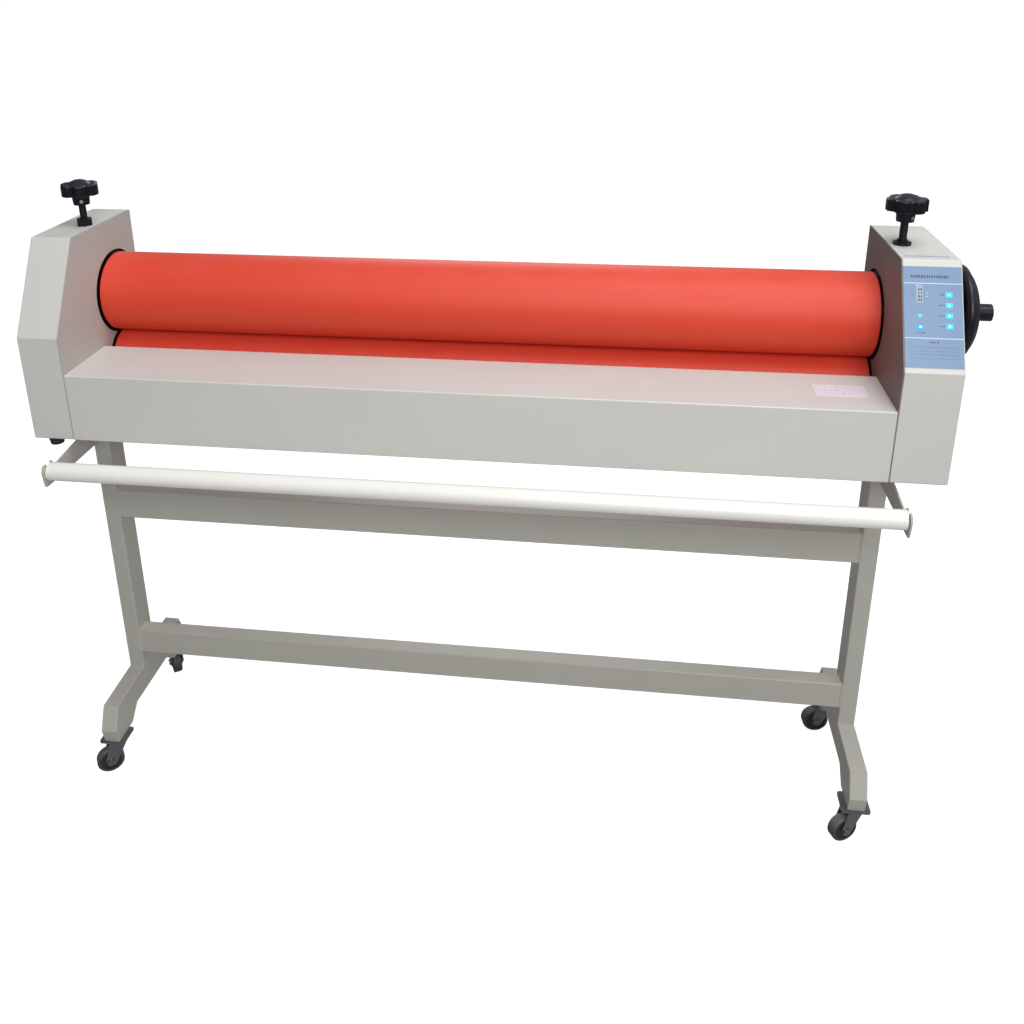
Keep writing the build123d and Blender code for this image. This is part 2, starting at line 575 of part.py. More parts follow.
def make_knob(side):
    """A star knob: lobes between round scallops, a low dome on top and a hub below."""
    x = side * SCREW_X
    radius = KNOB_DIA / 2
    star = Circle(radius)
    ring = radius + KNOB_SCALLOP_DIA * 0.19
    for i in range(KNOB_LOBES):
        angle = 2 * pi * (i + 0.5) / KNOB_LOBES
        star -= Pos(ring * cos(angle), ring * sin(angle)) * Circle(KNOB_SCALLOP_DIA / 2)
    head = extrude(fillet(star.vertices(), 3.0), KNOB_HEIGHT)
    head = fillet(head.faces().sort_by(Axis.Z)[-1].edges(), 3.0)
    head = fillet(head.faces().sort_by(Axis.Z)[0].edges(), 1.5)
    cap_r = (19.0 ** 2 + KNOB_DOME ** 2) / (2 * KNOB_DOME)
    dome = Pos(0, 0, KNOB_HEIGHT + KNOB_DOME - cap_r) * Sphere(cap_r)
    dome &= Pos(0, 0, KNOB_HEIGHT + 10.0 - 1.0) * Box(2 * radius, 2 * radius, 20.0)
    knob = head + dome
    knob += Pos(0, 0, -KNOB_HUB / 2) * Cone(KNOB_HUB_DIA / 2, KNOB_HUB_DIA / 2 + 1.5, KNOB_HUB)
    knob = Pos(x, SCREW_Y, KNOB_BOTTOM_Z) * knob
    hub_z = KNOB_BOTTOM_Z - KNOB_HUB
    knob -= rod_z(SCREW_DIA, x, SCREW_Y, hub_z - 1, hub_z + KNOB_HOLE_DEPTH)
    hole = rod_x(SET_SCREW_DIA, x + SCREW_DIA / 2, x + KNOB_HUB_DIA, SCREW_Y, hub_z + 7.0)
    return knob - hole.rotate(Axis((x, SCREW_Y, 0), (0, 0, 1)), -60)


parts["screw_nuts"] = make_screw_nuts()
for side, hand in ((-1, "left"), (1, "right")):
    parts[hand + "_trunnion"] = make_trunnion(side)
    parts[hand + "_screw"] = make_screw(side)
    parts[hand + "_knob"] = make_knob(side)


# ---------------------------------------------------------------- drive
def make_sprocket(teeth, pitch_r, y, z, bore):
    tip_r = pitch_r - CHAIN_HALF_HEIGHT - SPROCKET_CLEARANCE
    wheel = Circle(tip_r)
    for i in range(teeth):
        angle = 2 * pi * i / teeth
        wheel -= Pos(tip_r * cos(angle), tip_r * sin(angle)) * Circle(2.2)
    wheel -= Circle(bore / 2)
    return slab(Pos(y, z) * wheel, CHAIN_IN, CHAIN_OUT)


def make_chain():
    drive = (DRIVE_Y, DRIVE_Z)
    roller = (0, LOWER_Z)
    high = CHAIN_HALF_HEIGHT
    loop = band(drive, DRIVE_PITCH_R + high, roller, ROLLER_PITCH_R + high)
    loop -= band(drive, DRIVE_PITCH_R - high, roller, ROLLER_PITCH_R - high)
    return slab(loop, CHAIN_IN + 0.5, CHAIN_OUT - 0.5)


def make_gear_motor():
    """Worm gearbox on four spacers, with its motor hanging below it."""
    wide, deep, high = GEARBOX
    case = block(GEARBOX_IN, GEARBOX_IN + wide, DRIVE_Y - deep / 2, DRIVE_Y + deep / 2,
                 DRIVE_Z - high / 2, DRIVE_Z + high / 2)
    case = fillet(case.edges().filter_by(Axis.X), 6.0)
    case -= rod_x(DRIVE_SHAFT_DIA + 2 * RUNNING_CLEARANCE, GEARBOX_IN - 1, GEARBOX_IN + wide + 1, DRIVE_Y, DRIVE_Z)
    motor_x = GEARBOX_IN + wide / 2
    motor_y = DRIVE_Y - deep / 2 + MOTOR_DIA / 2
    motor_top = DRIVE_Z - high / 2
    motor = rod_z(MOTOR_DIA, motor_x, motor_y, motor_top - MOTOR_LENGTH, motor_top)
    spread = 27.0
    spacers = [rod_x(GEARBOX_SPACER_DIA, FRAME_OUT, GEARBOX_IN, DRIVE_Y + dy * spread, DRIVE_Z + dz * spread)
               for dy in (-1, 1) for dz in (-1, 1)]
    return group([case, motor] + spacers)


def make_handwheel():
    """A dished wheel turned about its shaft: rim, convex web, hub inside and boss outside."""
    rim_x = RIGHT_OUT + HANDWHEEL_GAP + HANDWHEEL_RIM
    rim_r = HANDWHEEL_DIA / 2
    face_x = rim_x + HANDWHEEL_DISH
    hub_r = HANDWHEEL_HUB_DIA / 2
    shoulder_r = rim_r - HANDWHEEL_RIM
    outer = Spline([(rim_x + HANDWHEEL_RIM, shoulder_r), (rim_x + HANDWHEEL_DISH * 0.72, rim_r * 0.62),
                    (face_x, hub_r)], tangents=[(1.0, -0.75), (0.25, -1.0)])
    profile = Line((face_x, hub_r), (face_x, 0)) + Line((face_x, 0), (RIGHT_OUT + HANDWHEEL_GAP, 0))
    profile += Line((RIGHT_OUT + HANDWHEEL_GAP, 0), (RIGHT_OUT + HANDWHEEL_GAP, shoulder_r))
    profile += Line((RIGHT_OUT + HANDWHEEL_GAP, shoulder_r), (rim_x + HANDWHEEL_RIM, shoulder_r)) + outer
    body = revolve(make_face(profile), Axis.X)
    hollow = body.scale(1.0)
    inner = Spline([(rim_x + HANDWHEEL_RIM - HANDWHEEL_WEB, shoulder_r - HANDWHEEL_WEB),
                    (rim_x + HANDWHEEL_DISH * 0.72 - HANDWHEEL_WEB, rim_r * 0.62 - HANDWHEEL_WEB / 2),
                    (face_x - HANDWHEEL_WEB, hub_r)], tangents=[(1.0, -0.75), (0.25, -1.0)])
    back_x = RIGHT_OUT + HANDWHEEL_GAP - 1
    cut = Line((face_x - HANDWHEEL_WEB, hub_r), (back_x, hub_r))
    cut += Line((back_x, hub_r), (back_x, shoulder_r - HANDWHEEL_WEB))
    cut += Line((back_x, shoulder_r - HANDWHEEL_WEB),
                (rim_x + HANDWHEEL_RIM - HANDWHEEL_WEB, shoulder_r - HANDWHEEL_WEB)) + inner
    wheel = hollow - revolve(make_face(cut), Axis.X)
    wheel += Pos(rim_x, 0, 0) * Rot(0, 90, 0) * Torus(shoulder_r, HANDWHEEL_RIM)
    wheel += rod_x(HANDWHEEL_BOSS_DIA, face_x - 1, face_x + HANDWHEEL_BOSS, 0, 0)
    wheel -= rod_x(DRIVE_SHAFT_DIA, back_x - 1, face_x + HANDWHEEL_BOSS - 3.0, 0, 0)
    return Pos(0, DRIVE_Y, DRIVE_Z) * wheel


HANDWHEEL_FACE = RIGHT_OUT + HANDWHEEL_GAP + HANDWHEEL_RIM + HANDWHEEL_DISH
parts["handwheel"] = make_handwheel()
shaft = rod_x(DRIVE_SHAFT_DIA, FRAME_IN, HANDWHEEL_FACE + HANDWHEEL_BOSS - 3.0, DRIVE_Y, DRIVE_Z)
parts["drive_shaft"] = group([shaft, make_sprocket(DRIVE_TEETH, DRIVE_PITCH_R, DRIVE_Y, DRIVE_Z, DRIVE_SHAFT_DIA)])
parts["roller_sprocket"] = make_sprocket(ROLLER_TEETH, ROLLER_PITCH_R, 0, LOWER_Z, JOURNAL_DIA)
parts["drive_chain"] = make_chain()
parts["gear_motor"] = make_gear_motor()


# ---------------------------------------------------------------- control panel
def make_panel_overlay():
    wide, high = PANEL_SIZE
    plate = on_slope(wide / 2 + PANEL_INSET, PANEL_UP + high / 2, -PANEL_THICKNESS / 2) * Box(wide, high, PANEL_THICKNESS)
    for across, up in key_places():
        plate -= on_slope(across, up) * Box(KEY_SIZE[0] + 2 * KEY_GAP, KEY_SIZE[1] + 2 * KEY_GAP, 6.0)
    plate -= on_slope(LIGHT_COLUMN, LIGHT_ROW) * Cylinder(LIGHT_DIA / 2, 6.0)
    return plate - on_slope(LIGHT_COLUMN, DISPLAY_ROW) * Box(*DISPLAY_SIZE, 6.0)


def make_key(across, up):
    """One key cap: it stands a little proud of the overlay and reaches down to its switch."""
    top = PANEL_THICKNESS + KEY_PROUD
    bottom = -(BOARD_DEPTH - 5.0 - CASTER_SWIVEL_GAP - KEY_TRAVEL)
    return on_slope(across, up, -(top + bottom) / 2) * Box(*KEY_SIZE, top - bottom)


def make_panel_lights():
    deep = PANEL_THICKNESS + BOARD_DEPTH
    middle = (BOARD_DEPTH - PANEL_THICKNESS) / 2
    light = on_slope(LIGHT_COLUMN, LIGHT_ROW, middle) * Cylinder(LIGHT_DIA / 2, deep)
    return group([light, on_slope(LIGHT_COLUMN, DISPLAY_ROW, middle) * Box(*DISPLAY_SIZE, deep)])


def make_control_board():
    """Circuit board behind the panel, on four posts, with a switch under each key."""
    wide, high, thick = BOARD_SIZE
    across = PANEL_SIZE[0] / 2 + 9.0
    up = PANEL_UP + PANEL_SIZE[1] / 2 + 10.0
    board = on_slope(across, up, BOARD_DEPTH + thick / 2) * Box(wide, high, thick)
    pieces = [board]
    for dx in (-1, 1):
        for dy in (-1, 1):
            place = on_slope(across + dx * (wide / 2 - 3.5), up + dy * (high / 2 - 4.0),
                             (CASING_SHEET + BOARD_DEPTH) / 2)
            pieces.append(place * Cylinder(BOARD_POST_DIA / 2, BOARD_DEPTH - CASING_SHEET))
    for column, row in key_places():
        pieces.append(on_slope(column, row, BOARD_DEPTH - 2.5) * Box(6.0, 6.0, 5.0))
    return group(pieces)


def make_power_inlet():
    wide, high, thick = INLET_FLANGE
    y = CASING_REAR_Y
    inlet = block(INLET_X - wide / 2, INLET_X + wide / 2, y, y + thick, INLET_Z - high / 2, INLET_Z + high / 2)
    w, h, d = INLET_BODY
    inlet += block(INLET_X - w / 2, INLET_X + w / 2, y - d, y, INLET_Z - h / 2, INLET_Z + h / 2)
    socket_depth = 18.0
    inlet -= block(INLET_X - w / 2 + 2, INLET_X + w / 2 - 2, y + thick - socket_depth, y + thick + 1,
                   INLET_Z - h / 2 + 2, INLET_Z + h / 2 - 2)
    for dx in (-6.0, 0.0, 6.0):
        inlet += block(INLET_X + dx - 1, INLET_X + dx + 1, y + thick - socket_depth, y - 3, INLET_Z - 2, INLET_Z + 2)
    return inlet


parts["panel_overlay"] = make_panel_overlay()
parts["panel_lights"] = make_panel_lights()
for number, (across, up) in enumerate(key_places(), start=1):
    parts["key_%d" % number] = make_key(across, up)
parts["control_board"] = make_control_board()
parts["power_inlet"] = make_power_inlet()


# ---------------------------------------------------------------- stand
def make_leg(side):
    """A leg post, a rectangular tube with its mounting plate welded on top."""
    plate_z = CASING_BOTTOM_Z - POST_PLATE
    front = POST_FRONT_Y
    post = block(side * POST_IN, side * POST_OUT, front, front + POST_DEPTH, FOOT_TOP_Z, plate_z)
    post = fillet(post.edges().filter_by(Axis.Z), 3.0)
    wall = POST_WALL
    post -= block(side * (POST_IN + wall), side * (POST_OUT - wall), front + wall,
                  front + POST_DEPTH - wall, FOOT_TOP_Z - 1, plate_z + 1)
    half = POST_PLATE_DEPTH / 2
    plate = block(side * POST_IN, side * (POST_IN + POST_PLATE_WIDTH), POST_CENTRE_Y - half,
                  POST_CENTRE_Y + half, plate_z, CASING_BOTTOM_Z)
    for x in leg_bolt_xs(side):
        for y in leg_bolt_ys():
            plate -= rod_z(BOLT_DIA, x, y, plate_z - 1, CASING_BOTTOM_Z + 1)
    return post + plate


def foot_face():
    """Side view of a foot: a shallow arch whose ends lean out to a nose and turn back under."""
    half = FOOT_HALF_LENGTH
    pad = half - FOOT_PAD
    right = [(POST_DEPTH / 2, FOOT_TOP_Z), (half - FOOT_TOE_SET_BACK, FOOT_TOP_Z - FOOT_TOP_FALL),
             (half, FOOT_NOSE_Z), (half - FOOT_HEEL_SET_BACK, FOOT_BOTTOM_Z), (pad, FOOT_BOTTOM_Z),
             (pad - FOOT_ARCH, FOOT_BOTTOM_Z + FOOT_ARCH)]
    left = [(-y, z) for y, z in reversed(right)]
    return Pos(POST_CENTRE_Y, 0) * outline(right + left)


def make_foot(side):
    face = foot_face()
    foot = slab(face, side * POST_IN, side * POST_OUT)
    rim = foot.edges().filter_by_position(Axis.X, side * POST_IN - 0.01, side * POST_IN + 0.01)
    rim += foot.edges().filter_by_position(Axis.X, side * POST_OUT - 0.01, side * POST_OUT + 0.01)
    foot = fillet(rim, 1.5)
    wall = FOOT_WALL
    return foot - slab(offset(face, -wall, kind=Kind.INTERSECTION), side * (POST_IN + wall), side * (POST_OUT - wall))


def make_crossbar(low, high):
    front = CROSSBAR_CENTRE_Y - CROSSBAR_DEPTH / 2
    bar = block(-POST_IN, POST_IN, front, front + CROSSBAR_DEPTH, low, high)
    bar = fillet(bar.edges().filter_by(Axis.X), 2.5)
    wall = CROSSBAR_WALL
    return bar - block(-POST_IN - 1, POST_IN + 1, front + wall, front + CROSSBAR_DEPTH - wall, low + wall, high - wall)


def make_cradle_arm(side):
    """A folded bracket: a flange on the post's front and an arm that ends in a notch for the tube."""
    low, high = CRADLE_BACK
    back = POST_FRONT_Y
    lip = CRADLE_LIP
    notch = TUBE_PIN_DIA + 2 * CRADLE_NOTCH_CLEARANCE
    face = outline([(back, low), (back, high), (TUBE_Y + lip, TUBE_Z + 4.0), (TUBE_Y + lip * 0.6, TUBE_Z + lip),
                    (TUBE_Y - lip, TUBE_Z + lip), (TUBE_Y - lip * 1.25, TUBE_Z + lip * 0.3),
                    (TUBE_Y - lip, TUBE_Z - lip * 1.4), (TUBE_Y + lip, TUBE_Z - lip * 1.45)])
    face = fillet(face.vertices().sort_by(Axis.X)[:-2], 4.0)
    face -= Pos(TUBE_Y, TUBE_Z) * Circle(notch / 2)
    face -= Pos(TUBE_Y, TUBE_Z + lip) * Rectangle(notch, 2 * lip)
    arm = slab(face, side * CRADLE_IN, side * (CRADLE_IN + CRADLE_SHEET))
    arm += block(side * POST_IN, side * (CRADLE_IN + CRADLE_SHEET), back - CRADLE_SHEET, back, low, high)
    for z in cradle_bolt_zs():
        arm -= rod_y(BOLT_DIA, side * cradle_bolt_x(), back - CRADLE_SHEET - 1, back + 1, z)
    return arm


def cradle_bolt_x():
    return (POST_IN + CRADLE_IN) / 2


def cradle_bolt_zs():
    low, high = CRADLE_BACK
    return (low + 10.0, high - 10.0)


def make_frame_bolts():
    """The bolts that hold the machine on its legs and the cradle arms on the posts."""
    bolts = []
    for side in (-1, 1):
        for x in leg_bolt_xs(side):
            for y in leg_bolt_ys():
                top = CASING_BOTTOM_Z + CASING_SHEET + FRAME_FLANGE
                under = CASING_BOTTOM_Z - POST_PLATE
                bolt = rod_z(BOLT_DIA, x, y, under, top)
                bolts.append(bolt + rod_z(BOLT_HEAD_DIA, x, y, under - BOLT_HEAD, under))
        face_y = POST_FRONT_Y - CRADLE_SHEET
        for z in cradle_bolt_zs():
            bolt = rod_y(BOLT_DIA, side * cradle_bolt_x(), face_y, POST_FRONT_Y, z)
            bolts.append(bolt + rod_y(BOLT_HEAD_DIA, side * cradle_bolt_x(), face_y - BOLT_HEAD, face_y, z))
    return group(bolts)


def make_rubber_feet():
    places = [(-POST_OUT - 12.0, -192.0), (-POST_OUT - 12.0, 58.0),
              (POST_OUT + 30.0, -140.0), (POST_OUT + 30.0, 58.0)]
    low = CASING_BOTTOM_Z - RUBBER_FOOT
    return group([Pos(x, y, low + RUBBER_FOOT / 2) * Cone(RUBBER_FOOT_DIA / 2 - 3, RUBBER_FOOT_DIA / 2, RUBBER_FOOT)
                  for x, y in places])


def make_guide_tube():
    """The loose tube that carries the film roll's liner, with a pinned cap in each end."""
    half = CRADLE_IN - TUBE_END_GAP
    tube = rod_x(TUBE_DIA, -half, half, TUBE_Y, TUBE_Z)
    tube -= rod_x(TUBE_DIA - 2 * TUBE_WALL, -half - 1, half + 1, TUBE_Y, TUBE_Z)
    pieces = [tube]
    for side in (-1, 1):
        cap = rod_x(TUBE_DIA - 2 * TUBE_WALL, side * (half - TUBE_CAP), side * half, TUBE_Y, TUBE_Z)
        pin_end = CRADLE_IN + CRADLE_SHEET + 3.0
        pieces.append(cap + rod_x(TUBE_PIN_DIA, side * half, side * pin_end, TUBE_Y, TUBE_Z))
    return group(pieces)


for side, hand in ((-1, "left"), (1, "right")):
    parts[hand + "_leg"] = make_leg(side)
    parts[hand + "_foot"] = make_foot(side)
parts["lower_crossbar"] = make_crossbar(*LOWER_BAR)
parts["upper_crossbar"] = make_crossbar(*UPPER_BAR)
parts["cradle_arms"] = group([make_cradle_arm(-1), make_cradle_arm(1)])
parts["frame_bolts"] = make_frame_bolts()
parts["rubber_feet"] = make_rubber_feet()
parts["guide_tube"] = make_guide_tube()


# ---------------------------------------------------------------- casters
WHEEL_R = CASTER_WHEEL_DIA / 2
CASTER_PLATE_Z = FOOT_BOTTOM_Z - CASTER_PLATE[2]
RACE_TOP_Z = CASTER_PLATE_Z - CASTER_SWIVEL_GAP
RACE_HEIGHT = 8.0
KINGPIN_DIA = 8.0


def caster_places():
    """Each caster's swivel axis, as (X, Y)."""
    places = {}
    for x, hand in ((-POST_X, "left"), (POST_X, "right")):
        places["front_" + hand] = (x, POST_CENTRE_Y - CASTER_OFFSET)
        places["rear_" + hand] = (x, POST_CENTRE_Y + CASTER_OFFSET)
    return places


def make_caster_plates():
    plates = []
    for x, y in caster_places().values():
        plate = Pos(x, y, CASTER_PLATE_Z + CASTER_PLATE[2] / 2) * Box(*CASTER_PLATE)
        plate = fillet(plate.edges().filter_by(Axis.Z), 6.0)
        plate -= rod_z(KINGPIN_DIA + 2 * CASTER_SWIVEL_GAP, x, y, CASTER_PLATE_Z - 1, CASTER_PLATE_Z + 5)
        plates.append(plate)
    return group(plates)


def make_fork():
    """Fork, race, kingpin and axle, with the swivel axis at X = Y = 0 and the wheel trailing along +X."""
    leg_in = CASTER_WHEEL_WIDTH / 2 + CASTER_SIDE_GAP
    leg_out = leg_in + CASTER_FORK_SHEET
    crown_z = RACE_TOP_Z - RACE_HEIGHT
    half = CASTER_RACE_DIA / 2
    leg = outline([(-half * 0.8, crown_z), (half * 0.9, crown_z), (CASTER_TRAIL + 9.0, WHEEL_R + 6.0),
                   (CASTER_TRAIL + 6.0, WHEEL_R - 8.0), (CASTER_TRAIL - 8.0, WHEEL_R - 8.0)])
    leg = fillet(leg.vertices().sort_by(Axis.Y)[:3], 4.0)
    fork = extrude(Plane.XZ * leg, CASTER_FORK_SHEET)
    fork = Pos(0, leg_out, 0) * fork + Pos(0, -leg_in, 0) * fork
    fork += block(-half * 0.8, half * 0.9, -leg_out, leg_out, crown_z, crown_z + CASTER_FORK_SHEET)
    fork += rod_z(CASTER_RACE_DIA, 0, 0, crown_z + CASTER_FORK_SHEET, RACE_TOP_Z)
    fork += rod_z(KINGPIN_DIA, 0, 0, RACE_TOP_Z, FOOT_BOTTOM_Z - 0.5)
    fork -= rod_y(CASTER_AXLE_DIA, CASTER_TRAIL, -leg_out - 1, leg_out + 1, WHEEL_R)
    axle = rod_y(CASTER_AXLE_DIA, CASTER_TRAIL, -leg_out, leg_out, WHEEL_R)
    for s in (-1, 1):
        axle += rod_y(CASTER_AXLE_DIA + 5, CASTER_TRAIL, s * leg_out, s * (leg_out + 3.0), WHEEL_R)
    return group([fork, axle])


def make_wheel():
    """A rubber tyre on a plastic hub."""
    half = CASTER_WHEEL_WIDTH / 2
    tyre = rod_y(CASTER_WHEEL_DIA, CASTER_TRAIL, -half, half, WHEEL_R)
    tyre = fillet(tyre.edges().filter_by(GeomType.CIRCLE), 3.0)
    hub_dia = CASTER_WHEEL_DIA - 2 * CASTER_TYRE
    tyre -= rod_y(hub_dia, CASTER_TRAIL, -half - 1, half + 1, WHEEL_R)
    hub = rod_y(hub_dia, CASTER_TRAIL, -half + 1, half - 1, WHEEL_R)
    bore = CASTER_AXLE_DIA + 2 * RUNNING_CLEARANCE
    return group([tyre, hub - rod_y(bore, CASTER_TRAIL, -half - 1, half + 1, WHEEL_R)])


parts["caster_plates"] = make_caster_plates()
for corner, (x, y) in caster_places().items():
    place = Pos(x, y, 0) * Rot(0, 0, CASTER_HEADING[corner])
    parts["caster_fork_" + corner] = group([place * s for s in make_fork().solids()])
    parts["caster_wheel_" + corner] = group([place * s for s in make_wheel().solids()])


# ---------------------------------------------------------------- origin and export
whole = Compound(children=[Compound(label=name, children=list(piece.solids())) for name, piece in parts.items()])
box = whole.bounding_box()
SHIFT = (-(box.min.X + box.max.X) / 2, -(box.min.Y + box.max.Y) / 2, -box.min.Z)

os.makedirs("parts", exist_ok=True)
for name, piece in parts.items():
    moved = Compound(children=[Pos(*SHIFT) * solid for solid in piece.solids()])
    export_step(moved, "parts/%s.step" % name)

print("nodes", len(parts), "shift", [round(value, 3) for value in SHIFT])
print("overall", [round(value, 1) for value in (box.size.X, box.size.Y, box.size.Z)])
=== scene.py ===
# %% [markdown]
# # A cold roll laminator
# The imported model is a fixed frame: every solid already has its real shape, size and place. This lesson
# gives it a camera, light, finishes, and the thin printed and welded details that a solid model leaves out.

import json
import math

import bmesh
import bpy
from mathutils import Matrix, Vector


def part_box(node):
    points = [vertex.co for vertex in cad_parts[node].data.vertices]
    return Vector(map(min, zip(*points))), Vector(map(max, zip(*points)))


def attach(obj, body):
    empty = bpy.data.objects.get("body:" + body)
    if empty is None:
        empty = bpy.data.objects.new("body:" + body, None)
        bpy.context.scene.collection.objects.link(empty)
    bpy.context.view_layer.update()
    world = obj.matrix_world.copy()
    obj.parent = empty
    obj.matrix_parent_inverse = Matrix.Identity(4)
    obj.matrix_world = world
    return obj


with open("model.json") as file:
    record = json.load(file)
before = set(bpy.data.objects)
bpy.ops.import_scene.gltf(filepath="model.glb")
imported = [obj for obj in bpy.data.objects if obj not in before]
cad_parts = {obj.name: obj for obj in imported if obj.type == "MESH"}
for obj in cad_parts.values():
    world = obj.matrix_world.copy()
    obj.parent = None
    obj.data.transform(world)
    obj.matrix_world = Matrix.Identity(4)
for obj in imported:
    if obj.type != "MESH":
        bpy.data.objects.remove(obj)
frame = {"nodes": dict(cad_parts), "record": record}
nodes = frame["nodes"]
slots = {entry["node"]: entry["material_slot"] for entry in frame["record"]["subparts"]}
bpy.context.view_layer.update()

# %% [markdown]
# ## Camera
# The machine is seen from a little above, slightly right of the middle, with a moderately wide lens.
# A camera that is tilted down makes upright edges lean. Here part of the look downwards comes from the lens
# shift, as on an architect's camera, and only the rest from tilt, which keeps that lean smaller.

# %% Camera
camera_data = bpy.data.cameras.new("camera")
camera_data.lens = 34.277
camera_data.sensor_width = 36.0
camera_data.shift_x = 0.01767
camera_data.shift_y = -0.19732
camera = bpy.data.objects.new("camera", camera_data)
camera.location = (0.2065, -1.5083, 1.4742)
camera.rotation_euler = (1.22928, 0.01078, 0.12843)
bpy.context.scene.collection.objects.link(camera)
bpy.context.scene.camera = camera
print("lens", camera_data.lens)

# %% [markdown]
# ## Two helpers for shader trees
# A light or a finish is a tree of nodes, and most of them are sums or ranges. One helper makes a maths node
# from sockets or plain numbers, and one stretches a value from one range to another. Each gives back the
# socket with the answer, so a call can be used as an input of the next one.

# %% Shader tree helpers
def maths(tree, operation, first, second):
    """A maths node. Each input is a socket or a number."""
    node = tree.nodes.new("ShaderNodeMath")
    node.operation = operation
    for index, value in enumerate((first, second)):
        if isinstance(value, (int, float)):
            node.inputs[index].default_value = value
        else:
            tree.links.new(value, node.inputs[index])
    return node.outputs[0]


def spread_range(tree, source, start, end, least, most):
    """Maps source, which runs from start to end, to a value that runs from least to most."""
    node = tree.nodes.new("ShaderNodeMapRange")
    for socket, number in (("From Min", start), ("From Max", end), ("To Min", least), ("To Max", most)):
        node.inputs[socket].default_value = number
    tree.links.new(source, node.inputs["Value"])
    return node.outputs["Result"]


print("helpers", maths.__name__, spread_range.__name__)

# %% [markdown]
# ## The studio
# A bright studio wraps the machine in soft light. It could be lit by lamps alone, but painted sheet needs
# something wide to reflect. So the world itself glows: more on the side of the control panel, so that faces
# turned the other way fall into shade, and more overhead. The camera sees it as a plain white backdrop.

# %% World
scene = bpy.context.scene
scene.view_settings.view_transform = "Standard"
world = bpy.data.worlds.new("studio")
scene.world = world
world.use_nodes = True
studio = world.node_tree
studio.nodes.clear()
coords = studio.nodes.new("ShaderNodeTexCoord")
direction = studio.nodes.new("ShaderNodeSeparateXYZ")
studio.links.new(coords.outputs["Generated"], direction.inputs["Vector"])
sideways = spread_range(studio, direction.outputs["X"], -0.9, 0.9, 0.04, 0.44)
upwards = spread_range(studio, direction.outputs["Z"], 0.0, 1.0, 0.75, 1.5)
seen = studio.nodes.new("ShaderNodeLightPath")
backdrop = studio.nodes.new("ShaderNodeMix")
backdrop.inputs["B"].default_value = 1.0
studio.links.new(seen.outputs["Is Camera Ray"], backdrop.inputs["Factor"])
studio.links.new(maths(studio, "MULTIPLY", sideways, upwards), backdrop.inputs["A"])
shade = studio.nodes.new("ShaderNodeBackground")
shade.inputs["Color"].default_value = (0.98, 0.99, 1.0, 1.0)
studio.links.new(backdrop.outputs["Result"], shade.inputs["Strength"])
output = studio.nodes.new("ShaderNodeOutputWorld")
studio.links.new(shade.outputs["Background"], output.inputs["Surface"])
print("world nodes", len(studio.nodes))

# %% [markdown]
# ## Lamps
# Three large square lamps shape the machine. The one overhead gives the rollers their long highlight, the
# one in front lifts the casings, and the one behind draws a rim on the top edges. Their size keeps every
# shadow soft.

# %% Lamps
def area_lamp(name, place, aim, size, power):
    """A square soft lamp at place, turned towards aim."""
    data = bpy.data.lights.new(name, "AREA")
    data.shape = "SQUARE"
    data.size = size
    data.energy = power
    lamp = bpy.data.objects.new(name, data)
    lamp.location = place
    lamp.rotation_euler = (Vector(aim) - Vector(place)).to_track_quat("-Z", "Y").to_euler()
    scene.collection.objects.link(lamp)
    print("lamp", name, power, "W")


area_lamp("overhead", (0.8, -0.6, 3.4), (0.1, 0.0, 0.8), 1.6, 40.0)
area_lamp("front", (0.7, -3.0, 2.5), (0.15, 0.0, 0.6), 1.4, 60.0)
area_lamp("behind", (-0.4, 3.0, 2.2), (0.0, 0.0, 0.8), 1.6, 26.0)

# %% [markdown]
# ## Floor
# A plain, pale floor glows a little, as a white studio floor does, so that it stays even to the horizon.
# It would also flood the machine from below, so only what the camera sees directly has the full glow.

# %% Floor
FLOOR_REACH = 60.0
floor_corners = [(-FLOOR_REACH, -FLOOR_REACH, 0), (FLOOR_REACH, -FLOOR_REACH, 0),
                 (FLOOR_REACH, FLOOR_REACH, 0), (-FLOOR_REACH, FLOOR_REACH, 0)]
floor_mesh = bpy.data.meshes.new("floor")
floor_mesh.from_pydata(floor_corners, [], [(0, 1, 2, 3)])
floor = bpy.data.objects.new("floor", floor_mesh)
scene.collection.objects.link(floor)
floor_look = bpy.data.materials.new("floor")
floor_look.use_nodes = True
floor_tree = floor_look.node_tree
floor_shader = floor_tree.nodes["Principled BSDF"]
floor_shader.inputs["Base Color"].default_value = (0.40, 0.40, 0.40, 1.0)
floor_shader.inputs["Roughness"].default_value = 0.95
floor_shader.inputs["Emission Color"].default_value = (1.0, 1.0, 1.0, 1.0)
path = floor_tree.nodes.new("ShaderNodeLightPath")
floor_glow = spread_range(floor_tree, path.outputs["Is Camera Ray"], 0.0, 1.0, 0.02, 0.90)
floor_tree.links.new(floor_glow, floor_shader.inputs["Emission Strength"])
floor_mesh.materials.append(floor_look)
print("floor", 2 * FLOOR_REACH, "m across")

# %% [markdown]
# ## Shared surface effects
# Paint, rubber and moulded plastic all vary a little in colour and gloss, and all have a fine texture that
# only shows in the highlights. Each material could have its own noise, but a group of nodes is built once,
# and each material only sets its values. The helper makes the empty group with its named sockets.

# %% An empty shader group
def new_group(name, inputs, outputs):
    """An empty shader node group with named sockets, its input node and its output node."""
    group = bpy.data.node_groups.new(name, "ShaderNodeTree")
    for socket, kind, value in inputs:
        made = group.interface.new_socket(socket, in_out="INPUT", socket_type=kind)
        made.default_value = value
    for socket, kind in outputs:
        group.interface.new_socket(socket, in_out="OUTPUT", socket_type=kind)
    print("group", name, "inputs", len(inputs), "outputs", len(outputs))
    return group, group.nodes.new("NodeGroupInput"), group.nodes.new("NodeGroupOutput")


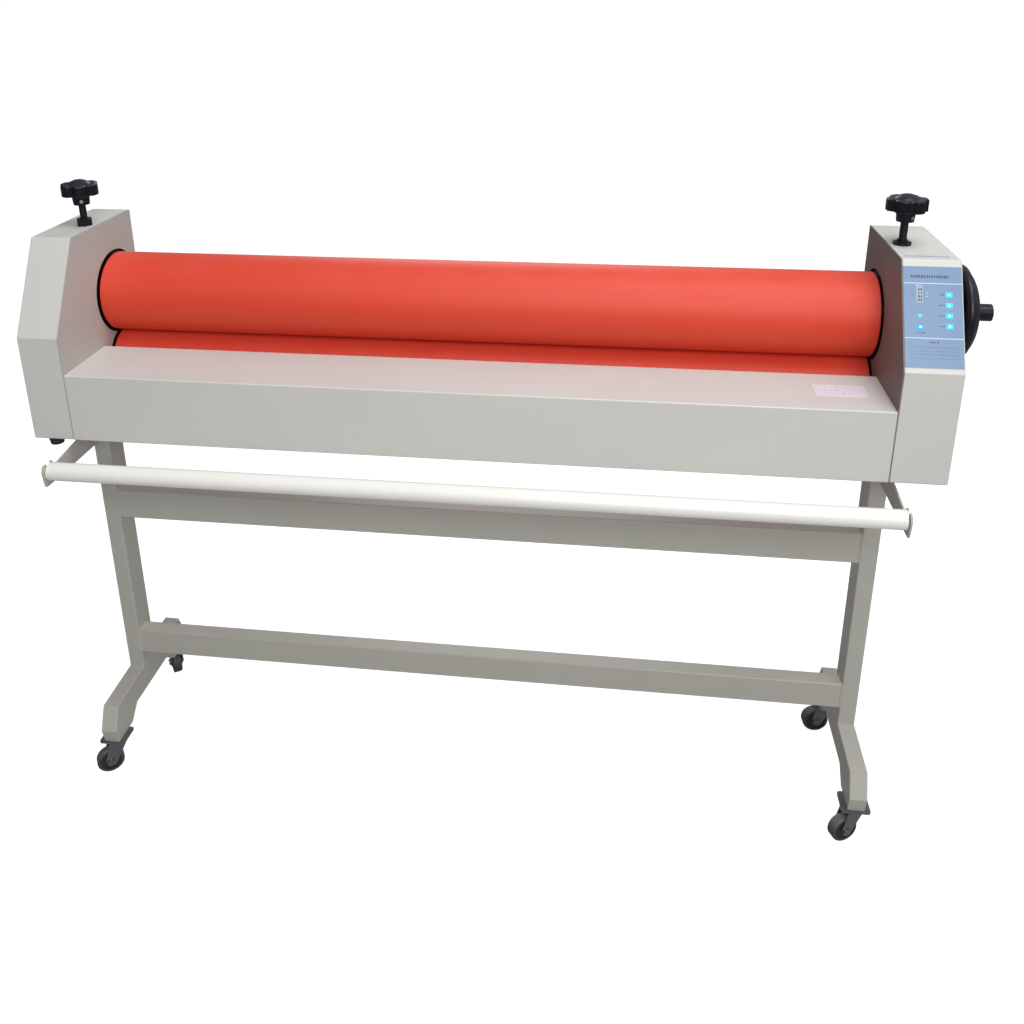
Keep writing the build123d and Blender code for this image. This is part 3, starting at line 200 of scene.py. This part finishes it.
# %% [markdown]
# ## Grain
# Two noises on the piece's own coordinates do it: broad patches shift the colour and the gloss, and a fine
# one gives a height for the Bump node. The coordinates can be squeezed first, which turns the grain into the
# lengthwise marks that a turned or drawn piece has.

# %% Grain group
grain, entry, leave = new_group(
    "surface_grain",
    [("Color", "NodeSocketColor", (0.8, 0.8, 0.8, 1.0)), ("Color Variation", "NodeSocketFloat", 0.05),
     ("Roughness", "NodeSocketFloat", 0.5), ("Roughness Variation", "NodeSocketFloat", 0.1),
     ("Patch Scale", "NodeSocketFloat", 6.0), ("Grain Scale", "NodeSocketFloat", 900.0),
     ("Stretch", "NodeSocketVector", (1.0, 1.0, 1.0))],
    [("Color", "NodeSocketColor"), ("Roughness", "NodeSocketFloat"), ("Height", "NodeSocketFloat")])
coords = grain.nodes.new("ShaderNodeTexCoord")
stretch = grain.nodes.new("ShaderNodeVectorMath")
stretch.operation = "MULTIPLY"
grain.links.new(coords.outputs["Object"], stretch.inputs[0])
grain.links.new(entry.outputs["Stretch"], stretch.inputs[1])
patches = grain.nodes.new("ShaderNodeTexNoise")
patches.inputs["Detail"].default_value = 4.0
fine = grain.nodes.new("ShaderNodeTexNoise")
fine.inputs["Detail"].default_value = 2.0
for texture, scale in ((patches, "Patch Scale"), (fine, "Grain Scale")):
    grain.links.new(stretch.outputs["Vector"], texture.inputs["Vector"])
    grain.links.new(entry.outputs[scale], texture.inputs["Scale"])
swing = maths(grain, "SUBTRACT", patches.outputs["Fac"], 0.5)
brightness = maths(grain, "ADD", maths(grain, "MULTIPLY", swing, entry.outputs["Color Variation"]), 1.0)
tint = grain.nodes.new("ShaderNodeHueSaturation")
grain.links.new(entry.outputs["Color"], tint.inputs["Color"])
grain.links.new(brightness, tint.inputs["Value"])
rough = maths(grain, "MULTIPLY", swing, entry.outputs["Roughness Variation"])
grain.links.new(maths(grain, "ADD", rough, entry.outputs["Roughness"]), leave.inputs["Roughness"])
grain.links.new(tint.outputs["Color"], leave.inputs["Color"])
grain.links.new(fine.outputs["Fac"], leave.inputs["Height"])
print("grain nodes", len(grain.nodes))

# %% [markdown]
# ## Dust and painted sheen
# A machine in a workshop carries a thin film of dust on the faces that look up. Its pale lavender colour
# is also a painted reflection: it lightens and cools those faces as the bluish sky above would. The face's
# normal says how far it looks up, and a soft cloud breaks the film, so that it doesn't read as a coat of
# paint.

# %% Dust and painted sheen group
# the pale lavender colour is partly dust and partly a painted reflection of the bluish sky on faces that
# look up
dust_and_sheen, entry, leave = new_group(
    "upward_dust_and_sheen",
    [("Color", "NodeSocketColor", (0.8, 0.8, 0.8, 1.0)), ("Roughness", "NodeSocketFloat", 0.5),
     ("Dust And Sheen Color", "NodeSocketColor", (0.78, 0.77, 0.80, 1.0)), ("Amount", "NodeSocketFloat", 0.1)],
    [("Color", "NodeSocketColor"), ("Roughness", "NodeSocketFloat")])
surface = dust_and_sheen.nodes.new("ShaderNodeNewGeometry")
upward = dust_and_sheen.nodes.new("ShaderNodeSeparateXYZ")
dust_and_sheen.links.new(surface.outputs["Normal"], upward.inputs["Vector"])
coords = dust_and_sheen.nodes.new("ShaderNodeTexCoord")
cloud = dust_and_sheen.nodes.new("ShaderNodeTexNoise")
cloud.inputs["Scale"].default_value = 14.0
dust_and_sheen.links.new(coords.outputs["Object"], cloud.inputs["Vector"])
facing = maths(dust_and_sheen, "MAXIMUM", upward.outputs["Z"], 0.0)
clouded = maths(dust_and_sheen, "MULTIPLY", facing, cloud.outputs["Fac"])
mask = maths(dust_and_sheen, "MULTIPLY", clouded, entry.outputs["Amount"])
blend = dust_and_sheen.nodes.new("ShaderNodeMix")
blend.data_type = "RGBA"
dust_and_sheen.links.new(mask, blend.inputs["Factor"])
dust_and_sheen.links.new(entry.outputs["Color"], blend.inputs["A"])
dust_and_sheen.links.new(entry.outputs["Dust And Sheen Color"], blend.inputs["B"])
dust_and_sheen.links.new(blend.outputs["Result"], leave.inputs["Color"])
gain = maths(dust_and_sheen, "MULTIPLY", mask, 0.4)
dust_and_sheen.links.new(maths(dust_and_sheen, "ADD", entry.outputs["Roughness"], gain), leave.inputs["Roughness"])
print("dust nodes", len(dust_and_sheen.nodes))

# %% [markdown]
# ## Finishes
# Every finish is one Principled shader fed by the two groups: colour and gloss go through grain and then
# the dust with its painted sheen, and the grain's height goes to a Bump node. What is the same all over a
# surface, such as its metal, its clear coat or its glow, is set on the shader itself.

# %% Material builder
def finish(name, colour, roughness=0.5, metallic=0.0, coat=0.0, vary=0.06, vary_rough=0.12, patch=6.0,
           grain_scale=900.0, bump=0.06, dust_and_sheen_amount=0.08, stretch=(1.0, 1.0, 1.0), glow=0.0, shine=0.5):
    """One material: a Principled shader fed by the grain group and the group of dust and painted sheen."""
    material = bpy.data.materials.new(name)
    material.use_nodes = True
    tree = material.node_tree
    shader = tree.nodes["Principled BSDF"]
    base = tree.nodes.new("ShaderNodeGroup")
    base.node_tree = grain
    base.inputs["Color"].default_value = (*colour, 1.0)
    for socket, number in (("Color Variation", vary), ("Roughness", roughness), ("Patch Scale", patch),
                           ("Roughness Variation", vary_rough), ("Grain Scale", grain_scale)):
        base.inputs[socket].default_value = number
    base.inputs["Stretch"].default_value = stretch
    film = tree.nodes.new("ShaderNodeGroup")
    film.node_tree = dust_and_sheen
    film.inputs["Amount"].default_value = dust_and_sheen_amount
    bumpy = tree.nodes.new("ShaderNodeBump")
    bumpy.inputs["Strength"].default_value = bump
    bumpy.inputs["Distance"].default_value = 0.0002
    tree.links.new(base.outputs["Color"], film.inputs["Color"])
    tree.links.new(base.outputs["Roughness"], film.inputs["Roughness"])
    tree.links.new(base.outputs["Height"], bumpy.inputs["Height"])
    tree.links.new(film.outputs["Color"], shader.inputs["Base Color"])
    tree.links.new(film.outputs["Roughness"], shader.inputs["Roughness"])
    tree.links.new(bumpy.outputs["Normal"], shader.inputs["Normal"])
    shader.inputs["Metallic"].default_value = metallic
    shader.inputs["Coat Weight"].default_value = coat
    shader.inputs["Coat Roughness"].default_value = 0.25
    shader.inputs["Specular IOR Level"].default_value = shine
    if glow:
        shader.inputs["Emission Color"].default_value = (*colour, 1.0)
        shader.inputs["Emission Strength"].default_value = glow
    return material


print("material builder", finish.__name__)

# %% [markdown]
# ## One finish for each material slot
# The model names a slot for each node, such as the casing's paint or the rollers' rubber. This table holds
# what makes each finish different. Paint has a thin clear coat, rubber is rougher and has none, and on the
# steel, the rollers and the tube the grain is drawn out along the machine's length.

# %% Finishes by slot
looks = {
    "casing_paint": finish("casing_paint", (0.66, 0.655, 0.62), 0.42, coat=0.15, bump=0.10, dust_and_sheen_amount=0.25),
    # the stand is the casing's paint made darker: painted shade for the shadow that the table and casings
    # cast on it
    "stand_paint": finish("stand_paint", (0.47, 0.46, 0.41), 0.45, coat=0.1, bump=0.12, vary=0.10),
    "steel": finish("steel", (0.60, 0.60, 0.60), 0.32, metallic=1.0, grain_scale=500.0, bump=0.05,
                    stretch=(0.15, 1.0, 1.0), dust_and_sheen_amount=0.02),
    "black_steel": finish("black_steel", (0.007, 0.007, 0.009), 0.42, shine=0.3, bump=0.05, dust_and_sheen_amount=0.02),
    "roller_rubber": finish("roller_rubber", (0.74, 0.054, 0.020), 0.55, vary=0.10, patch=3.0,
                            grain_scale=1600.0, bump=0.04, stretch=(0.4, 1.0, 1.0), dust_and_sheen_amount=0.04),
    "black_rubber": finish("black_rubber", (0.020, 0.020, 0.022), 0.65, bump=0.15, vary=0.2),
    "black_plastic": finish("black_plastic", (0.006, 0.006, 0.012), 0.30, bump=0.10, shine=0.3,
                            grain_scale=1400.0, vary=0.2, dust_and_sheen_amount=0.05),
    "bearing_bronze": finish("bearing_bronze", (0.48, 0.33, 0.14), 0.4, metallic=1.0, bump=0.05),
    "panel_film": finish("panel_film", (0.185, 0.295, 0.475), 0.36, coat=0.25, vary=0.12, patch=18.0,
                         bump=0.03, dust_and_sheen_amount=0.1),
    "key_lens": finish("key_lens", (0.02, 0.55, 1.0), 0.25, coat=0.4, bump=0.02, glow=0.9, dust_and_sheen_amount=0.0),
    "board_green": finish("board_green", (0.02, 0.13, 0.05), 0.35, coat=0.3, bump=0.03, dust_and_sheen_amount=0.1),
    "label_white": finish("label_white", (0.80, 0.79, 0.86), 0.4, coat=0.1, bump=0.02, dust_and_sheen_amount=0.1),
    "tube_cream": finish("tube_cream", (0.90, 0.885, 0.84), 0.30, coat=0.25, bump=0.03, vary=0.04,
                         stretch=(0.2, 1.0, 1.0), dust_and_sheen_amount=0.05),
}
print("finishes by slot", len(looks))

# %% [markdown]
# ## Finishes for single pieces
# Some pieces differ from their slot: the start key is a deeper blue, the casings' inner walls, which face
# each other across the rollers, are duller and darker, a painted shade for the shadow they stand in, the
# right wall darker than the left, and the casters are worn zinc with grey tyres. The inks of the printed
# marks are here too.

# %% Finishes for single pieces
start_blue = finish("start_blue", (0.01, 0.26, 1.0), 0.25, coat=0.4, bump=0.02, glow=1.1, dust_and_sheen_amount=0.0)
# both inner walls are darker than the casing paint: painted shade, and the right wall, which faces away from
# the light, is much darker
inner_left_painted_shade = finish("inner_wall_left_painted_shade", (0.45, 0.435, 0.41), 0.5, bump=0.10, dust_and_sheen_amount=0.05)
inner_right_painted_shade = finish("inner_wall_right_painted_shade", (0.22, 0.20, 0.19), 0.55, bump=0.10, dust_and_sheen_amount=0.05, shine=0.3)
zinc = finish("worn_zinc", (0.20, 0.21, 0.22), 0.34, metallic=0.9, vary=0.5, patch=40.0, bump=0.1,
              vary_rough=0.3)
tyre_grey = finish("tyre_grey", (0.045, 0.048, 0.052), 0.6, bump=0.2, vary=0.25, dust_and_sheen_amount=0.3)
legend_pale = finish("legend_pale", (0.62, 0.70, 0.80), 0.4, bump=0.02, dust_and_sheen_amount=0.0)
legend_dark = finish("legend_dark", (0.070, 0.090, 0.170), 0.4, bump=0.02, dust_and_sheen_amount=0.0)
legend_soft = finish("legend_soft", (0.145, 0.225, 0.360), 0.4, bump=0.02, dust_and_sheen_amount=0.0)
legend_violet = finish("legend_violet", (0.33, 0.33, 0.50), 0.4, bump=0.02, dust_and_sheen_amount=0.0)
display_glass = finish("display_glass", (0.42, 0.50, 0.58), 0.25, coat=0.4, bump=0.02, dust_and_sheen_amount=0.0)
key_mark = finish("key_mark", (0.80, 0.95, 1.0), 0.3, bump=0.02, glow=1.2, dust_and_sheen_amount=0.0)
print("materials", len(bpy.data.materials))

# %% [markdown]
# ## Put each finish on its node
# Every node gets the finish of its slot first, so that none is left bare. The few whole nodes with a finish
# of their own, and the pieces with two, are changed after it.

# %% Put each finish on its node
def repaint(name, material):
    """Gives a whole node one finish."""
    materials = nodes[name].data.materials
    materials.clear()
    materials.append(material)


for name, node in nodes.items():
    repaint(name, looks[slots[name]])
print("painted", len(nodes))

# %% [markdown]
# ## Pieces with two finishes
# A caster's tyre is softer and greyer than its hub, each knob is pinned by a bright set screw, and the
# display is glass while the light beside it isn't. Those solids share a node with their neighbour. They
# could be cut apart, but the node's mesh has to stay as it is, so the finish is chosen face by face, by
# where the face's centre lies.

# %% Paint part of a node
def paint_part(name, material, chosen):
    """Gives the faces of a node whose centre passes a test a finish of their own."""
    mesh = nodes[name].data
    mesh.materials.append(material)
    last = len(mesh.materials) - 1
    count = 0
    for face in mesh.polygons:
        if chosen(face.center):
            face.material_index = last
            count += 1
    print(name, "faces in", material.name, count)


# %% Tyres
TYRE_FROM = 0.80  # the tyre starts at this share of the wheel's radius
for name in nodes:
    if name.startswith("caster_wheel_"):
        low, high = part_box(name)
        middle = Vector([(first + second) / 2 for first, second in zip(low, high)])
        reach = (high[2] - low[2]) / 2
        paint_part(name, tyre_grey, lambda centre: (centre - middle).length > reach * TYRE_FROM)

# %% Set screws in the knobs
PIN_FROM_AXIS = 0.0045  # the set screw starts this far out from the pressure screw's axis
PIN_HEIGHT = 0.007  # about its middle, above the knob's underside
PIN_REACH = 0.0045  # and how far its faces may lie above or below that
for side in ("left", "right"):
    low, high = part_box(side + "_knob")
    axis_x = (low[0] + high[0]) / 2
    knob_low = low[2]
    paint_part(side + "_screw", looks["steel"],
               lambda centre: centre.x > axis_x + PIN_FROM_AXIS
               and abs(centre.z - knob_low - PIN_HEIGHT) < PIN_REACH
               and centre.z > knob_low)

# %% Display, casters, inner walls and start key
DISPLAY_FROM = 0.012  # above the light's lowest point: what is higher than this belongs to the display
for name in nodes:
    if name.startswith("caster_fork_") or name == "caster_plates":
        repaint(name, zinc)
lights_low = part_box("panel_lights")[0]
paint_part("panel_lights", display_glass, lambda centre: centre.z > lights_low[2] + DISPLAY_FROM)
# the inner walls get their darker finishes here, which paint the shade they stand in
for name, material in (("left_side_plate", inner_left_painted_shade), ("right_side_plate", inner_right_painted_shade),
                       ("key_5", start_blue)):
    repaint(name, material)
    print(name, "in", material.name)

# %% [markdown]
# ## Printed marks
# The panel, the label and the casing carry printing. It is drawn as rows of short marks of uneven length,
# which read as lines of print without saying anything. An image could do it, but a geometry node group
# needs none: it lays a grid of thin blocks and varies their width with a fixed seed, so one group makes
# every row of print on the machine.

# %% An empty geometry group
def new_geometry_group(name, inputs):
    """An empty geometry node group with a geometry output and named inputs."""
    group = bpy.data.node_groups.new(name, "GeometryNodeTree")
    for socket, kind, value in inputs:
        made = group.interface.new_socket(socket, in_out="INPUT", socket_type=kind)
        if value is not None:
            made.default_value = value
    group.interface.new_socket("Geometry", in_out="OUTPUT", socket_type="NodeSocketGeometry")
    print("geometry group", name, "inputs", len(inputs))
    return group, group.nodes.new("NodeGroupInput"), group.nodes.new("NodeGroupOutput")


# %% Rows of print
print_rows, entry, leave = new_geometry_group("rows_of_print", [
    ("Marks", "NodeSocketInt", 8), ("Rows", "NodeSocketInt", 1), ("Width", "NodeSocketFloat", 0.05),
    ("Height", "NodeSocketFloat", 0.02), ("Mark Size", "NodeSocketVector", (0.004, 0.002, 0.0001)),
    ("Unevenness", "NodeSocketFloat", 0.3), ("Seed", "NodeSocketInt", 1),
    ("Material", "NodeSocketMaterial", None)])
link = print_rows.links.new
grid = print_rows.nodes.new("GeometryNodeMeshGrid")
for name, socket in (("Marks", "Vertices X"), ("Rows", "Vertices Y"),
                     ("Width", "Size X"), ("Height", "Size Y")):
    link(entry.outputs[name], grid.inputs[socket])
block = print_rows.nodes.new("GeometryNodeMeshCube")
link(entry.outputs["Mark Size"], block.inputs["Size"])
narrowest = print_rows.nodes.new("ShaderNodeCombineXYZ")
narrowest.inputs["Y"].default_value = 0.85
narrowest.inputs["Z"].default_value = 1.0
link(maths(print_rows, "SUBTRACT", 1.0, entry.outputs["Unevenness"]), narrowest.inputs["X"])
uneven = print_rows.nodes.new("FunctionNodeRandomValue")
uneven.data_type = "FLOAT_VECTOR"
uneven.inputs["Max"].default_value = (1.15, 1.0, 1.0)
link(narrowest.outputs["Vector"], uneven.inputs["Min"])
link(entry.outputs["Seed"], uneven.inputs["Seed"])
place = print_rows.nodes.new("GeometryNodeInstanceOnPoints")
link(grid.outputs["Mesh"], place.inputs["Points"])
link(block.outputs["Mesh"], place.inputs["Instance"])
link(uneven.outputs["Value"], place.inputs["Scale"])
realize = print_rows.nodes.new("GeometryNodeRealizeInstances")
link(place.outputs["Instances"], realize.inputs["Geometry"])
ink = print_rows.nodes.new("GeometryNodeSetMaterial")
link(realize.outputs["Geometry"], ink.inputs["Geometry"])
link(entry.outputs["Material"], ink.inputs["Material"])
link(ink.outputs["Geometry"], leave.inputs["Geometry"])
print("print nodes", len(print_rows.nodes))

# %% [markdown]
# ## From node group to finished piece
# A geometry group only shows while its modifier is live. Baking it gives a plain mesh that can be moved,
# joined and exported. The baked meshes that ride on the same body become one piece, with their places in
# the mesh, so that the object itself stays at the origin.

# %% Bake and join
def bake(group, settings):
    """The plain mesh that a geometry node group makes with these settings."""
    holder = bpy.data.objects.new("holder", bpy.data.meshes.new("holder"))
    scene.collection.objects.link(holder)
    modifier = holder.modifiers.new("nodes", "NODES")
    modifier.node_group = group
    for item in group.interface.items_tree:
        if item.item_type == "SOCKET" and item.in_out == "INPUT" and item.name in settings:
            modifier[item.identifier] = settings[item.name]
    bpy.context.view_layer.update()
    made = holder.evaluated_get(bpy.context.evaluated_depsgraph_get())
    mesh = bpy.data.meshes.new_from_object(made)
    bpy.data.objects.remove(holder)
    return mesh


def join_pieces(name, pieces, body):
    """One object from (mesh, matrix, material) pieces, riding on a body."""
    merged = bmesh.new()
    materials = []
    for mesh, matrix, material in pieces:
        if material not in materials:
            materials.append(material)
        mesh.transform(matrix)
        start = len(merged.faces)
        merged.from_mesh(mesh)
        merged.faces.ensure_lookup_table()
        for face in merged.faces[start:]:
            face.material_index = materials.index(material)
    joined = bpy.data.meshes.new(name)
    merged.to_mesh(joined)
    merged.free()
    for material in materials:
        joined.materials.append(material)
    piece = bpy.data.objects.new(name, joined)
    scene.collection.objects.link(piece)
    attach(piece, body)
    print(name, "faces", len(joined.polygons), "on", body)


# %% [markdown]
# ## Where the panel is
# The control panel is a thin film on the slope of the right casing. Its box gives the height and the depth
# that the film covers, but both include a share of its own thickness, and that share depends on the tilt.
# A few rounds of taking the share off and measuring the tilt again settle it.

# %% Where the panel is
FILM_THICKNESS = 0.0008
PRINT_LIFT = 0.00003  # print lies this far above its surface, so that it never flickers through
film_low, film_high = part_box("panel_overlay")
film_width = film_high[0] - film_low[0]
tilt = math.atan2(film_high[2] - film_low[2], film_high[1] - film_low[1])
for _ in range(4):
    rise = film_high[2] - film_low[2] - FILM_THICKNESS * math.cos(tilt)
    run = film_high[1] - film_low[1] - FILM_THICKNESS * math.sin(tilt)
    tilt = math.atan2(rise, run)
film_corner = Vector((film_low[0], film_low[1], film_low[2] + FILM_THICKNESS * math.cos(tilt)))
film_turn = Matrix.Rotation(tilt, 4, "X")
print("panel tilt", round(math.degrees(tilt), 2))


def on_panel(across, up, lift=PRINT_LIFT):
    """A matrix on the panel's face: across from its left edge, up from its lower edge, in metres."""
    return Matrix.Translation(film_corner) @ film_turn @ Matrix.Translation((across, up, lift))


# %% [markdown]
# ## Print on the panel
# Two pale lines cross the film and part it into a title, a field of keys and a block of small print. Each
# call below gives a block's ink, its count of marks and rows, its width and height, the size of one mark,
# its seed, and where its middle lies on the panel.

# %% Print on the panel
INK_THICKNESS = 0.0001
DIVIDER_HEIGHT = 0.0013
inks = []


def strip(width, height):
    """A flat strip of print, centred."""
    mesh = bpy.data.meshes.new("strip")
    box = bmesh.new()
    bmesh.ops.create_cube(box, size=1.0, matrix=Matrix.Diagonal((width, height, INK_THICKNESS, 1.0)))
    box.to_mesh(mesh)
    box.free()
    return mesh


def add_print(ink, marks, rows, width, height, mark, seed, matrix, uneven=0.45):
    """Bakes a block of print, centred on a matrix, and keeps it for the printed piece."""
    mesh = bake(print_rows, {"Marks": marks, "Rows": rows, "Width": width, "Height": height,
                             "Mark Size": (*mark, INK_THICKNESS), "Unevenness": uneven, "Seed": seed,
                             "Material": ink})
    inks.append((mesh, matrix, ink))


for up in (0.0445, 0.1280):
    inks.append((strip(film_width, DIVIDER_HEIGHT), on_panel(film_width / 2, up), legend_pale))
add_print(legend_dark, 15, 1, 0.052, 0.0, (0.0031, 0.0046), 3, on_panel(0.038, 0.1385))
add_print(legend_dark, 4, 1, 0.011, 0.0, (0.0026, 0.0030), 5, on_panel(0.042, 0.0385))
add_print(legend_soft, 13, 4, 0.066, 0.0165, (0.0046, 0.0014), 9, on_panel(0.042, 0.0225), 0.7)
for row in range(4):
    up = 0.0630 + 0.016 * row
    add_print(legend_dark, 3, 1, 0.0052, 0.0, (0.0021, 0.0018), 20 + row, on_panel(0.0545, up))
add_print(legend_dark, 5, 1, 0.0105, 0.0, (0.0020, 0.0018), 31, on_panel(0.0235, 0.0525))
add_print(legend_pale, 4, 1, 0.008, 0.0, (0.0020, 0.0015), 33, on_panel(0.0225, 0.1245))
add_print(legend_dark, 2, 1, 0.003, 0.0, (0.0016, 0.0016), 35, on_panel(0.0125, 0.1105))
add_print(legend_pale, 2, 2, 0.002, 0.005, (0.0014, 0.0016), 37, on_panel(0.0335, 0.1105))
add_print(legend_dark, 2, 4, 0.0035, 0.016, (0.0024, 0.0030), 39, on_panel(0.0235, 0.1105, 0.0006))
print("blocks of print on the panel", len(inks))

# %% [markdown]
# ## Print on the casing and on the label
# A row of larger marks stands for the name on top of the right casing, and three faint lines stand for the
# text on the table's label. They are placed from the boxes of the pieces that they lie on.

# %% Print on the casing and the label
case_low, case_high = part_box("right_casing")
casing_top = Matrix.Translation((case_low[0] + 0.0395, case_low[1] + 0.1045, case_high[2] + PRINT_LIFT))
add_print(legend_violet, 16, 1, 0.062, 0.0, (0.0036, 0.0062), 41, casing_top, 0.6)
label_low, label_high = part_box("table_label")
label_top = Matrix.Translation(((label_low[0] + label_high[0]) / 2, (label_low[1] + label_high[1]) / 2,
                                label_high[2] + PRINT_LIFT))
add_print(legend_violet, 6, 3, 0.044, 0.020, (0.0052, 0.0012), 43, label_top, 0.9)
join_pieces("printed_marks", inks, "machine")

# %% [markdown]
# ## Marks on the keys
# Each lit key has a pale mark at its centre: a dot, and on the fourth key a triangle. The marks ride on the
# keys, so they go down with them, and each is a piece of its own for that reason.

# %% Key marks
KEY_HALF_SIDE = 0.0035  # from the key's middle to its edge, along the panel's slope
MARK_RADIUS = 0.0016
MARK_TOP_RADIUS = 0.0014
TRIANGLE_KEY = 4
for number in range(1, 6):
    low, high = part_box("key_%d" % number)
    centre = Vector(((low[0] + high[0]) / 2, low[1] + KEY_HALF_SIDE * math.cos(tilt),
                     high[2] - KEY_HALF_SIDE * math.sin(tilt)))
    shape = bmesh.new()
    bmesh.ops.create_cone(shape, cap_ends=True, segments=3 if number == TRIANGLE_KEY else 12,
                          radius1=MARK_RADIUS, radius2=MARK_TOP_RADIUS, depth=INK_THICKNESS)
    mark = bpy.data.meshes.new("mark")
    shape.to_mesh(mark)
    shape.free()
    place_on_key = Matrix.Translation(centre) @ film_turn
    join_pieces("key_mark_%d" % number, [(mark, place_on_key, key_mark)], "key %d" % number)

# %% [markdown]
# ## Weld beads
# The stand is welded from tube: each joint has a bead of overlapping ripples under the paint. A bead could
# be a plain tube, but its ripples would be missing. So a second geometry node group lays balls along a
# line, a little flattened and close enough to overlap, and varies their size.

# %% Weld bead group
beads, entry, leave = new_geometry_group("weld_bead", [
    ("Length", "NodeSocketFloat", 0.05), ("Ripples", "NodeSocketInt", 20),
    ("Radius", "NodeSocketFloat", 0.0022), ("Seed", "NodeSocketInt", 1),
    ("Material", "NodeSocketMaterial", None)])
link = beads.links.new
line = beads.nodes.new("GeometryNodeMeshLine")
line.mode = "END_POINTS"
for share, socket in ((-0.5, "Start Location"), (0.5, "Offset")):
    line_end = beads.nodes.new("ShaderNodeCombineXYZ")
    link(maths(beads, "MULTIPLY", entry.outputs["Length"], share), line_end.inputs["X"])
    link(line_end.outputs["Vector"], line.inputs[socket])
link(entry.outputs["Ripples"], line.inputs["Count"])
ball = beads.nodes.new("GeometryNodeMeshUVSphere")
ball.inputs["Segments"].default_value = 10
ball.inputs["Rings"].default_value = 6
link(entry.outputs["Radius"], ball.inputs["Radius"])
size = beads.nodes.new("FunctionNodeRandomValue")
size.data_type = "FLOAT_VECTOR"
size.inputs["Min"].default_value = (0.75, 0.9, 0.9)
size.inputs["Max"].default_value = (1.0, 1.1, 1.1)
link(entry.outputs["Seed"], size.inputs["Seed"])
spread = beads.nodes.new("GeometryNodeInstanceOnPoints")
link(line.outputs["Mesh"], spread.inputs["Points"])
link(ball.outputs["Mesh"], spread.inputs["Instance"])
link(size.outputs["Value"], spread.inputs["Scale"])
solid = beads.nodes.new("GeometryNodeRealizeInstances")
link(spread.outputs["Instances"], solid.inputs["Geometry"])
paint = beads.nodes.new("GeometryNodeSetMaterial")
link(solid.outputs["Geometry"], paint.inputs["Geometry"])
link(entry.outputs["Material"], paint.inputs["Material"])
link(paint.outputs["Geometry"], leave.inputs["Geometry"])
print("bead nodes", len(beads.nodes))

# %% [markdown]
# ## Lay the beads
# Each post stands on its foot with a bead along the front and the back, and each crossbar meets the posts
# with a bead on all four sides of its end. The places come from the boxes of those pieces, so the beads stay
# in the corners where the tubes meet.

# %% Lay the beads
RIPPLE_PITCH = 0.0021
BEAD_RADIUS = 0.0018
POST_DEPTH = 0.050
FOOT_MARGIN = 0.002  # the foot's beads stop short of its sides
BAR_MARGIN = 0.003  # and the crossbars' beads stop short of their corners
welds = []


def weld(first, last, seed):
    """A bead from one point to another."""
    first = Vector(first)
    run = Vector(last) - first
    ripples = max(4, int(run.length / RIPPLE_PITCH))
    mesh = bake(beads, {"Length": run.length, "Ripples": ripples, "Radius": BEAD_RADIUS, "Seed": seed,
                        "Material": looks["stand_paint"]})
    turn = run.to_track_quat("X", "Z").to_matrix().to_4x4()
    welds.append((mesh, Matrix.Translation(first + run / 2) @ turn, looks["stand_paint"]))


for number, side in enumerate(("left", "right")):
    post_low, post_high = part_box(side + "_leg")
    foot_low, foot_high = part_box(side + "_foot")
    front = (post_low[1] + post_high[1]) / 2 - POST_DEPTH / 2
    foot_top = post_low[2]
    for y, seed in ((front, 11), (front + POST_DEPTH, 21)):
        weld((foot_low[0] + FOOT_MARGIN, y, foot_top), (foot_high[0] - FOOT_MARGIN, y, foot_top),
             seed + number)
    for bar, seed in (("lower_crossbar", 31), ("upper_crossbar", 41)):
        low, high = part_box(bar)
        x = low[0] if side == "left" else high[0]
        for y in (low[1], high[1]):
            weld((x, y, low[2] + BAR_MARGIN), (x, y, high[2] - BAR_MARGIN), seed + number)
        for z in (low[2], high[2]):
            weld((x, low[1] + BAR_MARGIN, z), (x, high[1] - BAR_MARGIN, z), seed + 5 + number)
print("beads", len(welds))
join_pieces("weld_beads", welds, "machine")
